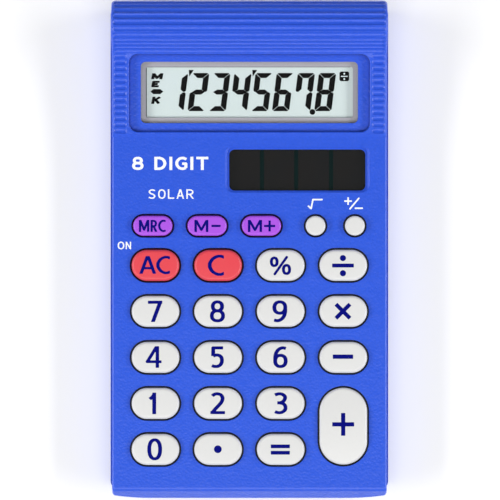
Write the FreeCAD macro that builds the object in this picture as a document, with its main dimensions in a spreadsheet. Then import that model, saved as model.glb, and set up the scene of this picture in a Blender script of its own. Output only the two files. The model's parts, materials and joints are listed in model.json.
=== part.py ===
"""Solar desk calculator, 120 mm long, as separate parts in one document.

The frame: +Z is up, +Y runs from the keyboard to the ribbed crest behind the display, +X is to the right.
The origin is on the table, under the middle of the case. All lengths are in millimetres.
"""
import FreeCAD
import Part
import math
import os
import Sketcher

from FreeCAD import Placement, Rotation, Vector

SIZES = {
    "case outline": {
        "case_length": 120.0,
        "front_width": 66.3,
        "front_corner": 1.0,
        "near_edge_flat": 24.0,
        "near_edge_fall": 0.75,
        "rear_width": 67.2,
        "rear_length": 117.2,
        "rear_shift": 0.5,
        "rear_corner": 2.2,
        "rear_bottom_round": 1.2,
        "rim_round": 0.55,
    },
    "heights above the table": {
        "foot_drop": 0.8,
        "floor_top": 2.3,
        "boss_meeting": 3.4,
        "board_bottom": 3.4,
        "board_top": 4.2,
        "sheet_top": 4.9,
        "parting": 5.0,
        "pill_bottom": 5.1,
        "pill_top": 5.5,
        "dome_top": 6.45,
        "flange_bottom": 6.5,
        "flange_top": 7.55,
        "plate_bottom": 7.6,
        "keyboard": 9.0,
        "key_crown": 10.2,
    },
    "near lip": {
        "lip_start": 5.6,
        "lip_slope": 59.0,
        "lip_round": 1.2,
    },
    "wave behind the keyboard": {
        "step_start": 27.2,
        "step_end": 28.0,
        "step_rise": 0.55,
        "display_tilt": 4.0,
        "display_face_end": 46.0,
        "hollow_round": 3.5,
        "rise_slope": 57.0,
        "rise_run": 3.6,
        "crest_round": 4.0,
        "back_round": 6.0,
        "back_slope": 75.0,
        "end_edge": 12.0,
        "end_draft": 0.2,
        "wall": 1.5,
        "side_wall": 1.4,
    },
    "flutes": {
        "flute_pitch": 1.506,
        "flute_land": 0.1,
        "flute_radius": 1.0,
        "flute_count": 24,
        "side_flute_count": 13,
        "flute_reach": 32.7,
        "side_flute_start": 29.5,
    },
    "display": {
        "display_centre": 38.0,
        "recess_width": 58.1,
        "recess_length": 18.8,
        "recess_centre": 37.9,
        "recess_corner": 2.2,
        "recess_depth": 1.2,
        "recess_rim": 0.25,
        "display_plate": 1.0,
        "window_width": 52.2,
        "window_length": 14.6,
        "window_corner": 1.2,
        "window_gap": 0.1,
        "window_thickness": 0.9,
        "window_drop": 0.05,
        "frame_width": 54.2,
        "frame_length": 16.4,
        "frame_corner": 1.0,
        "frame_sight_width": 50.0,
        "frame_sight_length": 12.35,
        "frame_sight_corner": 0.6,
        "frame_thickness": 0.5,
        "frame_drop": 1.0,
        "polariser_drop": 1.6,
        "polariser_length": 14.0,
        "film_thickness": 0.2,
        "glass_width": 53.6,
        "glass_corner": 0.3,
        "glass_thickness": 0.7,
        "front_glass_drop": 1.8,
        "front_glass_length": 16.4,
        "front_glass_shift": 0.25,
        "rear_glass_drop": 2.55,
        "rear_glass_length": 14.4,
        "rear_glass_shift": -0.75,
        "reflector_drop": 3.3,
        "foam_drop": 3.55,
        "foam_thickness": 0.65,
        "foam_width": 48.0,
        "foam_length": 11.0,
        "zebra_width": 50.0,
        "zebra_length": 1.5,
        "zebra_centre": 45.5,
        "zebra_top": 6.95,
    },
    "solar panel": {
        "solar_x": 11.56,
        "solar_y": 19.3,
        "solar_recess_width": 33.8,
        "solar_recess_length": 10.35,
        "solar_recess_shift": 0.27,
        "solar_recess_corner": 1.45,
        "solar_recess_depth": 0.6,
        "solar_recess_bevel": 0.55,
        "solar_width": 32.7,
        "solar_length": 9.75,
        "solar_corner": 1.3,
        "solar_gap": 0.08,
        "solar_window_bottom": 7.55,
        "solar_window_thickness": 0.8,
        "cell_width": 34.3,
        "cell_length": 11.3,
        "cell_corner": 0.3,
        "cell_bottom": 6.3,
        "cell_thickness": 1.1,
        "solar_pad_width": 24.0,
        "solar_pad_length": 8.0,
        "solar_pad_bottom": 4.25,
        "solar_pad_thickness": 2.0,
        "lead_radius": 0.4,
        "lead_bend": 4.0,
        "lead_spacing": 4.0,
        "lead_start_x": -2.0,
        "lead_level_run": 4.5,
        "lead_slope_run": 3.0,
        "lead_end_run": 3.5,
    },
    "keys": {
        "column_pitch": 15.1,
        "row_pitch": 11.1,
        "top_row": -3.7,
        "memory_row": 5.85,
        "memory_first": -23.3,
        "memory_pitch": 13.1,
        "root_key_x": 15.95,
        "sign_key_x": 25.43,
        "plus_key_y": -42.5,
        "key_width": 11.5,
        "key_length": 7.5,
        "plus_length": 18.6,
        "memory_width": 9.45,
        "memory_length": 4.8,
        "round_key": 4.75,
        "key_gap": 0.4,
        "opening_round": 0.15,
        "flange_margin": 0.7,
        "crown_radius": 60.0,
        "key_rim": 0.8,
        "small_key_rim": 0.55,
    },
    "rubber sheet": {
        "sheet_width": 60.4,
        "sheet_length": 61.4,
        "sheet_centre": -21.4,
        "sheet_corner": 1.5,
        "dome_base": 2.7,
        "dome_taper": 24.0,
        "dome_hollow": 2.3,
        "dome_hollow_height": 1.7,
        "core_radius": 1.2,
        "sheet_hole": 1.9,
    },
    "circuit board": {
        "board_width": 61.0,
        "board_length": 105.2,
        "board_centre": 0.4,
        "board_corner": 1.5,
        "board_hole": 0.9,
        "chip_radius": 4.0,
        "chip_drop": 0.8,
        "chip_x": -8.0,
        "chip_y": 20.0,
        "parts_row": 50.2,
        "capacitor_x": 15.0,
        "capacitor_radius": 2.0,
        "capacitor_length": 7.0,
        "diode_x": 3.0,
        "diode_radius": 0.85,
        "diode_length": 3.4,
        "resistor_x": -16.0,
        "resistor_pitch": 9.0,
        "resistor_radius": 0.9,
        "resistor_length": 3.8,
        "lead_wire": 0.25,
        "lead_overhang": 1.2,
    },
    "screws and feet": {
        "case_screw_x": 15.1,
        "case_screw_near": -54.4,
        "case_screw_far_x": 27.0,
        "case_screw_far": 55.4,
        "front_boss": 1.9,
        "rear_boss": 2.9,
        "case_pilot": 1.0,
        "pilot_top": 7.2,
        "case_clearance": 1.2,
        "counterbore": 2.0,
        "counterbore_top": 2.0,
        "case_head": 1.8,
        "case_head_bottom": 1.0,
        "case_shank": 0.95,
        "case_screw_top": 6.6,
        "board_screw_x": 15.1,
        "board_screw_near": -31.45,
        "board_screw_middle": -9.25,
        "board_screw_far_x": 25.0,
        "board_boss": 1.6,
        "board_pilot": 0.8,
        "board_head": 1.7,
        "board_head_drop": 0.75,
        "board_shank": 0.75,
        "board_screw_top": 6.8,
        "slot_width": 0.4,
        "slot_length": 2.2,
        "slot_depth": 0.4,
        "post_radius": 1.0,
        "post_gap": 0.05,
        "tongue_inner": 31.3,
        "tongue_outer": 32.1,
        "tongue_bottom": 4.3,
        "tongue_top": 5.4,
        "tongue_near": -50.0,
        "tongue_far": 52.0,
        "foot_x": 25.0,
        "foot_near": -46.0,
        "foot_far": 46.0,
        "foot_radius": 3.5,
        "foot_recess": 0.6,
        "foot_recess_gap": 0.05,
        "foot_round": 0.3,
        "label_width": 40.0,
        "label_length": 24.0,
        "label_corner": 1.5,
        "label_depth": 0.3,
        "label_y": 14.0,
    },
}

LETTER_ROWS = {
    0: ["ac", "c", "percent", "divide"],
    1: ["7", "8", "9", "multiply"],
    2: ["4", "5", "6", "minus"],
    3: ["1", "2", "3"],
    4: ["0", "point", "equals"],
}
MEMORY_KEYS = ["mrc", "memory_minus", "memory_plus"]

doc = FreeCAD.newDocument("DeskCalculator")
sheet = doc.addObject("Spreadsheet::Sheet", "Sizes")


def fill_sheet():
    """Write every driving size into the spreadsheet, under its own alias."""
    row = 1
    for group, entries in SIZES.items():
        sheet.set(f"A{row}", group)
        row += 1
        for alias, number in entries.items():
            sheet.set(f"A{row}", alias)
            sheet.set(f"B{row}", str(number))
            sheet.setAlias(f"B{row}", alias)
            row += 1
    doc.recompute()


def size(alias):
    """The number that the spreadsheet holds under an alias."""
    return float(sheet.get(alias))


# ---------------------------------------------------------------------------------------------------------
# Sketches and features
# ---------------------------------------------------------------------------------------------------------

def new_body(name):
    """An empty body whose label names its file."""
    body = doc.addObject("PartDesign::Body", name)
    body.Label = name
    return body


def bind(item, **expressions):
    """Bind properties to expressions; a double underscore in a keyword stands for a dot."""
    for name, expression in expressions.items():
        item.setExpression(name.replace("__", "."), expression)


def sketch_on(body, name, level, x_shift="0", y_shift="0"):
    """A sketch parallel to the body's XY plane, at a level and a shift given as expressions."""
    planes = {feature.Role: feature for feature in body.Origin.OriginFeatures}
    sketch = body.newObject("Sketcher::SketchObject", name)
    sketch.AttachmentSupport = [(planes["XY_Plane"], "")]
    sketch.MapMode = "FlatFace"
    bind(
        sketch,
        AttachmentOffset__Base__x=x_shift,
        AttachmentOffset__Base__y=y_shift,
        AttachmentOffset__Base__z=level,
    )
    return sketch


def name_last(sketch, name, expression):
    """Name the newest constraint of a sketch and drive it with an expression."""
    sketch.renameConstraint(sketch.ConstraintCount - 1, name)
    sketch.setExpression(f"Constraints.{name}", expression)


def draw_rounded_rectangle(sketch, width, length, corner):
    """Draw a rounded rectangle about the sketch's origin, driven by three expressions."""
    reach = 10.0
    radius = 2.0
    inset = reach - radius
    turns = [(1, 1), (-1, 1), (-1, -1), (1, -1)]
    arcs = []
    lines = []
    for quarter, (x_sign, y_sign) in enumerate(turns):
        circle = Part.Circle(Vector(x_sign * inset, y_sign * inset, 0), Vector(0, 0, 1), radius)
        start = quarter * math.pi / 2
        arcs.append(sketch.addGeometry(Part.ArcOfCircle(circle, start, start + math.pi / 2)))
    sides = [
        (Vector(inset, reach, 0), Vector(-inset, reach, 0)),
        (Vector(-reach, inset, 0), Vector(-reach, -inset, 0)),
        (Vector(-inset, -reach, 0), Vector(inset, -reach, 0)),
        (Vector(reach, -inset, 0), Vector(reach, inset, 0)),
    ]
    for start, end in sides:
        lines.append(sketch.addGeometry(Part.LineSegment(start, end)))
    for quarter in range(4):
        following = arcs[(quarter + 1) % 4]
        sketch.addConstraint(Sketcher.Constraint("Tangent", arcs[quarter], 2, lines[quarter], 1))
        sketch.addConstraint(Sketcher.Constraint("Tangent", lines[quarter], 2, following, 1))
    sketch.addConstraint(Sketcher.Constraint("Horizontal", lines[0]))
    sketch.addConstraint(Sketcher.Constraint("Horizontal", lines[2]))
    sketch.addConstraint(Sketcher.Constraint("Vertical", lines[1]))
    sketch.addConstraint(Sketcher.Constraint("Vertical", lines[3]))
    for other in arcs[1:]:
        sketch.addConstraint(Sketcher.Constraint("Equal", arcs[0], other))
    sketch.addConstraint(Sketcher.Constraint("Symmetric", arcs[0], 3, arcs[2], 3, -1, 1))
    sketch.addConstraint(Sketcher.Constraint("Radius", arcs[0], radius))
    name_last(sketch, "corner", corner)
    sketch.addConstraint(Sketcher.Constraint("DistanceX", arcs[1], 3, arcs[0], 3, 2 * inset))
    name_last(sketch, "width", f"{width} - 2 * ({corner})")
    sketch.addConstraint(Sketcher.Constraint("DistanceY", arcs[3], 3, arcs[0], 3, 2 * inset))
    name_last(sketch, "length", f"{length} - 2 * ({corner})")


def draw_stadium(sketch, width, length, upright=False):
    """Draw a shape with two straight sides and two half-round ends, about the sketch's origin."""
    reach = 5.0
    radius = 2.0
    turn = math.pi / 2 if upright else 0.0
    along = Vector(math.cos(turn), math.sin(turn), 0)
    across = Vector(-along.y, along.x, 0)
    arcs = []
    for side in (1, -1):
        circle = Part.Circle(along * (side * reach), Vector(0, 0, 1), radius)
        start = turn - side * math.pi / 2
        arcs.append(sketch.addGeometry(Part.ArcOfCircle(circle, start, start + math.pi)))
    upper = Part.LineSegment(along * reach + across * radius, along * -reach + across * radius)
    lower = Part.LineSegment(along * -reach - across * radius, along * reach - across * radius)
    lines = [sketch.addGeometry(upper), sketch.addGeometry(lower)]
    sketch.addConstraint(Sketcher.Constraint("Tangent", arcs[0], 2, lines[0], 1))
    sketch.addConstraint(Sketcher.Constraint("Tangent", lines[0], 2, arcs[1], 1))
    sketch.addConstraint(Sketcher.Constraint("Tangent", arcs[1], 2, lines[1], 1))
    sketch.addConstraint(Sketcher.Constraint("Tangent", lines[1], 2, arcs[0], 1))
    sketch.addConstraint(Sketcher.Constraint("Equal", arcs[0], arcs[1]))
    sketch.addConstraint(Sketcher.Constraint("Symmetric", arcs[0], 3, arcs[1], 3, -1, 1))
    sketch.addConstraint(Sketcher.Constraint("Vertical" if upright else "Horizontal", lines[0]))
    short = width if upright else length
    long = length if upright else width
    sketch.addConstraint(Sketcher.Constraint("Radius", arcs[0], radius))
    name_last(sketch, "end_radius", f"({short}) / 2")
    kind = "DistanceY" if upright else "DistanceX"
    sketch.addConstraint(Sketcher.Constraint(kind, arcs[1], 3, arcs[0], 3, 2 * reach))
    name_last(sketch, "centre_distance", f"({long}) - ({short})")


def draw_circles(sketch, places, radius):
    """Draw equal circles at places given as pairs of expressions."""
    for number, (x_place, y_place) in enumerate(places):
        circle = Part.Circle(Vector(number * 3.0 + 1.0, 1.0, 0), Vector(0, 0, 1), 1.0)
        index = sketch.addGeometry(circle)
        sketch.addConstraint(Sketcher.Constraint("Radius", index, 1.0))
        name_last(sketch, f"radius_{number}", radius)
        sketch.addConstraint(Sketcher.Constraint("DistanceX", -1, 1, index, 3, number * 3.0 + 1.0))
        name_last(sketch, f"x_{number}", x_place)
        sketch.addConstraint(Sketcher.Constraint("DistanceY", -1, 1, index, 3, 1.0))
        name_last(sketch, f"y_{number}", y_place)


def pad(body, sketch, name, height):
    """Raise a sketch by a height given as an expression."""
    feature = body.newObject("PartDesign::Pad", name)
    feature.Profile = sketch
    bind(feature, Length=height)
    return feature


def pocket(body, sketch, name, depth, upward=False):
    """Cut a sketch down from its plane, or up from it, by a depth given as an expression."""
    feature = body.newObject("PartDesign::Pocket", name)
    feature.Profile = sketch
    feature.Reversed = upward
    bind(feature, Length=depth)
    return feature


def edges_at(shape, level):
    """Names of the edges that lie flat at one height."""
    names = []
    for number, edge in enumerate(shape.Edges, start=1):
        box = edge.BoundBox
        if abs(box.ZMin - level) < 1e-4 and abs(box.ZMax - level) < 1e-4:
            names.append(f"Edge{number}")
    return names


def round_edges(body, base, names, name, radius):
    """Fillet named edges of a body's newest feature by a radius given as an expression."""
    feature = body.newObject("PartDesign::Fillet", name)
    feature.Base = (base, names)
    bind(feature, Radius=radius)
    return feature


def plate(name, outline, level, height, x_shift="0", y_shift="0"):
    """A flat body from one rounded rectangle; outline holds its width, length and corner."""
    body = new_body(name)
    sketch = sketch_on(body, f"{name}_outline", level, x_shift, y_shift)
    draw_rounded_rectangle(sketch, *outline)
    pad(body, sketch, f"{name}_pad", height)
    return body


def cylinder(name, radius, height, base_x, base_y, base_z):
    """An upright Part::Cylinder whose sizes and place are expressions."""
    item = doc.addObject("Part::Cylinder", name)
    bind(
        item,
        Radius=radius,
        Height=height,
        Placement__Base__x=base_x,
        Placement__Base__y=base_y,
        Placement__Base__z=base_z,
    )
    return item


def fuse(name, items):
    """One solid from several document objects."""
    union = doc.addObject("Part::MultiFuse", name)
    union.Shapes = items
    return union


def group(name, items):
    """Several separate solids kept in one labelled object."""
    compound = doc.addObject("Part::Compound", name)
    compound.Links = items
    compound.Label = name
    return compound


# ---------------------------------------------------------------------------------------------------------
# Places that several parts share
# ---------------------------------------------------------------------------------------------------------

def column_x(column):
    """Expression for the middle of a key column, counted from the left."""
    return f"Sizes.column_pitch * {column - 1.5}"


def row_y(row):
    """Expression for the middle of a key row, counted from the display end."""
    return f"Sizes.top_row - Sizes.row_pitch * {row}"


def key_places():
    """Every key's name, its shape and its place as expressions."""
    places = {}
    for row, names in LETTER_ROWS.items():
        for column, name in enumerate(names):
            places[f"key_{name}"] = ("standard", column_x(column), row_y(row))
    places["key_plus"] = ("tall", column_x(3), "Sizes.plus_key_y")
    for column, name in enumerate(MEMORY_KEYS):
        x_place = f"Sizes.memory_first + Sizes.memory_pitch * {column}"
        places[f"key_{name}"] = ("memory", x_place, "Sizes.memory_row")
    places["key_square_root"] = ("round", "Sizes.root_key_x", "Sizes.memory_row")
    places["key_sign_change"] = ("round", "Sizes.sign_key_x", "Sizes.memory_row")
    return places


KEY_SHAPES = {
    "standard": ("Sizes.key_width", "Sizes.key_length", "Sizes.key_rim"),
    "tall": ("Sizes.key_width", "Sizes.plus_length", "Sizes.key_rim"),
    "memory": ("Sizes.memory_width", "Sizes.memory_length", "Sizes.small_key_rim"),
    "round": ("Sizes.round_key", "Sizes.round_key", "Sizes.small_key_rim"),
}


def case_screw_places():
    """Places of the four case screws, as expressions."""
    near = [(f"{side} * Sizes.case_screw_x", "Sizes.case_screw_near") for side in (-1, 1)]
    far = [(f"{side} * Sizes.case_screw_far_x", "Sizes.case_screw_far") for side in (-1, 1)]
    return near + far


def keyboard_screw_places():
    """Places of the four board screws that stand between the keys, as expressions."""
    return [
        (f"{side} * Sizes.board_screw_x", f"Sizes.{row}")
        for row in ("board_screw_near", "board_screw_middle")
        for side in (-1, 1)
    ]


def board_screw_places():
    """Places of all the board screws, as expressions."""
    far = [(f"{side} * Sizes.board_screw_far_x", "Sizes.parts_row") for side in (-1, 1)]
    return keyboard_screw_places() + far


def number_of(expression):
    """Work out an expression of the spreadsheet's aliases with the spreadsheet itself."""
    return float(sheet.evalExpression(expression))


def display_face_height(y_place):
    """Height of the tilted display face at a distance along the case."""
    rise = (y_place - size("step_end")) * math.tan(math.radians(size("display_tilt")))
    return size("keyboard") + size("step_rise") + rise


# ---------------------------------------------------------------------------------------------------------
# Front case
# ---------------------------------------------------------------------------------------------------------

class Walker:
    """Draws a side profile in the YZ plane as tangent lines and arcs, from a point and a heading."""

    def __init__(self, y_place, height, heading):
        self.point = Vector(0, y_place, height)
        self.heading = math.radians(heading)
        self.edges = []

    def line(self, run):
        """Go straight on for a length."""
        end = self.point + Vector(0, math.cos(self.heading), math.sin(self.heading)) * run
        self.edges.append(Part.LineSegment(self.point, end).toShape())
        self.point = end

    def line_to(self, y_place, height):
        """Go straight to a point."""
        end = Vector(0, y_place, height)
        step = end - self.point
        self.edges.append(Part.LineSegment(self.point, end).toShape())
        self.heading = math.atan2(step.z, step.y)
        self.point = end

    def turn_to(self, heading, radius):
        """Follow an arc until the profile has a new heading in degrees."""
        turn = math.radians(heading) - self.heading
        side = 1.0 if turn > 0 else -1.0
        centre = self.point + Vector(0, -math.sin(self.heading), math.cos(self.heading)) * (side * radius)
        places = []
        for share in (0.5, 1.0):
            angle = self.heading + turn * share
            places.append(centre + Vector(0, math.sin(angle), -math.cos(angle)) * (side * radius))
        self.edges.append(Part.Arc(self.point, places[0], places[1]).toShape())
        self.point = places[1]
        self.heading = math.radians(heading)


def lip_points():
    """Where the near lip's slope starts and where it meets its rounding."""
    slope = math.radians(size("lip_slope"))
    near = -size("case_length") / 2
    round_height = size("lip_round") * (1 - math.cos(slope))
    top = size("keyboard") - round_height
    run = (top - size("lip_start")) / math.tan(slope)
    return (near, size("lip_start")), (near + run, top)


def wave_edges(inset):
    """The rise, crest and back behind the display face, moved inward by an inset."""
    tilt = size("display_tilt")
    start = Vector(0, size("display_face_end"), display_face_height(size("display_face_end")))
    inward = Vector(0, math.sin(math.radians(tilt)), -math.cos(math.radians(tilt)))
    start = start + inward * inset
    walker = Walker(start.y, start.z, tilt)
    walker.turn_to(size("rise_slope"), size("hollow_round") + inset)
    walker.line(size("rise_run"))
    walker.turn_to(0.0, size("crest_round") - inset)
    walker.turn_to(-size("back_slope"), size("back_round") - inset)
    return walker


def case_block(base):
    """The solid under the outer top surface, down to a base height."""
    far = size("case_length") / 2
    (near, lip_start), (lip_y, lip_z) = lip_points()
    walker = Walker(near, base, 90.0)
    walker.line_to(near, lip_start)
    walker.line_to(lip_y, lip_z)
    walker.turn_to(0.0, size("lip_round"))
    walker.line_to(size("step_start"), size("keyboard"))
    walker.line_to(size("step_end"), size("keyboard") + size("step_rise"))
    face_end = size("display_face_end")
    walker.line_to(face_end, display_face_height(face_end))
    wave = wave_edges(0.0)
    walker.edges += wave.edges
    walker.point = wave.point
    walker.line_to(far, size("end_edge"))
    walker.line_to(far - size("end_draft"), base)
    walker.line_to(near, base)
    width = size("front_width")
    face = Part.Face(Part.Wire(walker.edges))
    face.translate(Vector(-width / 2, 0, 0))
    return face.extrude(Vector(width, 0, 0))


def plan_prism(bottom, top):
    """The front case's outline seen from above: its near edge falls back towards both corners."""
    half = size("front_width") / 2
    far = size("case_length") / 2
    flat = size("near_edge_flat")
    fall = size("near_edge_fall")
    sweep = half - flat
    radius = (sweep ** 2 + fall ** 2) / (2 * fall)
    middle = flat + sweep / 2
    sag = radius - math.sqrt(radius ** 2 - (middle - flat) ** 2)
    edges = [Part.LineSegment(Vector(-flat, -far, 0), Vector(flat, -far, 0)).toShape()]
    edges.append(Part.Arc(
        Vector(flat, -far, 0), Vector(middle, -far + sag, 0), Vector(half, -far + fall, 0)).toShape())
    corners = [Vector(half, -far + fall, 0), Vector(half, far, 0)]
    corners += [Vector(-half, far, 0), Vector(-half, -far + fall, 0)]
    for start, end in zip(corners, corners[1:]):
        edges.append(Part.LineSegment(start, end).toShape())
    edges.append(Part.Arc(
        Vector(-half, -far + fall, 0), Vector(-middle, -far + sag, 0), Vector(-flat, -far, 0)).toShape())
    face = Part.Face(Part.Wire(edges))
    face.translate(Vector(0, 0, bottom))
    prism = face.extrude(Vector(0, 0, top - bottom))
    uprights = [
        edge for edge in prism.Edges
        if edge.BoundBox.ZLength > (top - bottom) * 0.99 and abs(edge.BoundBox.XMin) > half - 0.01
    ]
    return prism.makeFillet(size("front_corner"), uprights)


def rim_edges(shape, half_width):
    """The long top edges of the case block, at both sides."""
    chosen = []
    for edge in shape.Edges:
        box = edge.BoundBox
        on_side = abs(abs(box.Center.x) - half_width) < 0.01 and box.XLength < 0.01
        upper = box.ZMax > size("parting") + 1.0 and box.YLength > 0.3
        if on_side and upper and box.ZMin > size("parting") + 0.1:
            chosen.append(edge)
    return chosen


def rounded_prism(width, length, corner, height):
    """A rounded rectangle raised by a height, its middle at the origin."""
    block = Part.makeBox(width, length, height, Vector(-width / 2, -length / 2, 0))
    uprights = [edge for edge in block.Edges if edge.BoundBox.ZLength > height * 0.99]
    return block.makeFillet(corner, uprights)


def stadium_prism(width, length, height):
    """A shape with half-round ends raised by a height, its middle at the origin."""
    radius = min(width, length) / 2
    reach = (max(width, length) - 2 * radius) / 2
    if reach < 0.01:
        return Part.makeCylinder(radius, height)
    along = Vector(1, 0, 0) if width > length else Vector(0, 1, 0)
    ends = [Part.makeCylinder(radius, height, along * (side * reach)) for side in (-1, 1)]
    x_size = 2 * reach if width > length else width
    y_size = length if width > length else 2 * reach
    middle = Part.makeBox(x_size, y_size, height, Vector(-x_size / 2, -y_size / 2, 0))
    return middle.fuse(ends).removeSplitter()


def tilted(shape, drop, y_place):
    """Put a shape into the display's tilted frame, a drop below the recess floor."""
    tilt = Rotation(Vector(1, 0, 0), size("display_tilt"))
    floor_drop = size("recess_depth") / math.cos(math.radians(size("display_tilt")))
    origin = Vector(0, y_place, display_face_height(y_place) - floor_drop)
    moved = shape.copy()
    moved.Placement = Placement(origin, tilt).multiply(Placement(Vector(0, 0, -drop), Rotation()))
    return moved


def flute_ridges():
    """Points on the wave, one flute pitch apart, where neighbouring flutes meet."""
    face_start = Vector(0, size("step_end"), display_face_height(size("step_end")))
    face_end = Vector(0, size("display_face_end"), display_face_height(size("display_face_end")))
    edges = [Part.LineSegment(face_start, face_end).toShape()] + wave_edges(0.0).edges
    half_land = size("flute_land") / 2
    pairs = []
    for number in range(int(size("flute_count"))):
        ends = []
        for distance in (
            number * size("flute_pitch") + half_land,
            (number + 1) * size("flute_pitch") - half_land,
        ):
            ends.append(point_along(edges, distance))
        pairs.append(tuple(ends))
    return pairs


def point_along(edges, distance):
    """The point at a distance along a chain of edges."""
    for edge in edges:
        if distance <= edge.Length:
            return edge.valueAt(edge.getParameterByLength(distance))
        distance -= edge.Length
    return edges[-1].valueAt(edges[-1].LastParameter)


def capsule(start_x, end_x, centre, radius):
    """A round-ended bar along X."""
    start = Vector(start_x, centre.y, centre.z)
    end = Vector(end_x, centre.y, centre.z)
    bar = Part.makeCylinder(radius, end_x - start_x, start, Vector(1, 0, 0))
    return bar.fuse([Part.makeSphere(radius, start), Part.makeSphere(radius, end)])


def flute_cutters():
    """Round-ended bars that cut the flutes: full width on the wave, short ones beside the display."""
    cutters = []
    radius = size("flute_radius")
    for number, (start, end) in enumerate(flute_ridges()):
        chord = end - start
        half_chord = chord.Length / 2
        outward = Vector(0, -chord.z, chord.y).normalize()
        centre = (start + end) * 0.5 + outward * math.sqrt(radius ** 2 - half_chord ** 2)
        reach = size("flute_reach") - half_chord
        if number < size("side_flute_count"):
            inner = size("side_flute_start") + half_chord
            cutters.append(capsule(inner, reach, centre, radius))
            cutters.append(capsule(-reach, -inner, centre, radius))
        else:
            cutters.append(capsule(-reach, reach, centre, radius))
    return cutters


def case_cavity(base):
    """The hollow inside the front case, open at its base."""
    slope = math.radians(size("lip_slope"))
    (near, _), (lip_y, lip_z) = lip_points()
    wall = size("wall")
    inner_top = size("plate_bottom")
    lip_run = (lip_z - inner_top) / math.tan(slope)
    inner_lip = lip_y - lip_run + wall / math.sin(slope)
    foot_run = (inner_top - base) / math.tan(slope)
    display_drop = size("recess_depth") + size("display_plate")
    tilt = math.radians(size("display_tilt"))
    display_start = size("step_start")
    walker = Walker(inner_lip - foot_run, base, 90.0)
    walker.line_to(inner_lip, inner_top)
    walker.line_to(display_start, inner_top)
    under_face = display_face_height(size("step_end")) - display_drop / math.cos(tilt)
    walker.line_to(size("step_end"), under_face)
    wave = wave_edges(wall)
    rise = wave.edges[1]
    top_of_rise = rise.valueAt(rise.LastParameter)
    slope_up = math.tan(math.radians(size("rise_slope")))
    run_up = (top_of_rise.z - under_face) - (top_of_rise.y - size("step_end")) * math.tan(tilt)
    back = run_up / (slope_up - math.tan(tilt))
    corner_y = top_of_rise.y - back
    walker.line_to(corner_y, top_of_rise.z - back * slope_up)
    walker.line_to(top_of_rise.y, top_of_rise.z)
    walker.edges += wave.edges[2:]
    walker.point = wave.point
    far = size("case_length") / 2 - wall
    walker.line_to(far, size("end_edge"))
    walker.line_to(far - size("end_draft"), base)
    walker.line_to(inner_lip - foot_run, base)
    width = size("front_width") - 2 * size("side_wall")
    face = Part.Face(Part.Wire(walker.edges))
    face.translate(Vector(-width / 2, 0, 0))
    return face.extrude(Vector(width, 0, 0))


def round_recess_rim(shape):
    """Round the top edge of the display recess."""
    half_width = size("recess_width") / 2
    half_length = size("recess_length") / 2
    chosen = []
    for edge in shape.Edges:
        box = edge.BoundBox
        inside_x = max(abs(box.XMin), abs(box.XMax)) < half_width + 0.01
        inside_y = (
            box.YMin > size("recess_centre") - half_length - 0.3
            and box.YMax < size("recess_centre") + half_length + 0.6
        )
        on_face = box.ZMin > display_face_height(box.YMin) - 0.3
        if inside_x and inside_y and on_face:
            chosen.append(edge)
    return shape.makeFillet(size("recess_rim"), chosen)


def level_edges(shape, level, x_place, y_place):
    """Edges that lie flat at a level, in one closed ring around a place on the keyboard."""
    rings = [
        wire for face in shape.Faces for wire in face.Wires
        if abs(wire.BoundBox.ZMin - level) < 1e-4 and abs(wire.BoundBox.ZMax - level) < 1e-4
        and abs(wire.BoundBox.Center.x - x_place) < 1.0 and abs(wire.BoundBox.Center.y - y_place) < 1.0
        and wire.BoundBox.DiagonalLength < 45.0
    ]
    return rings[0].Edges


def upright_bosses(places, radius, bottom, block):
    """Solid columns that hang from the case's underside at given places."""
    columns = []
    height = 20.0
    for x_place, y_place in places:
        base = Vector(number_of(x_place), number_of(y_place), bottom)
        columns.append(Part.makeCylinder(radius, height, base).common(block))
    return columns


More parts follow.
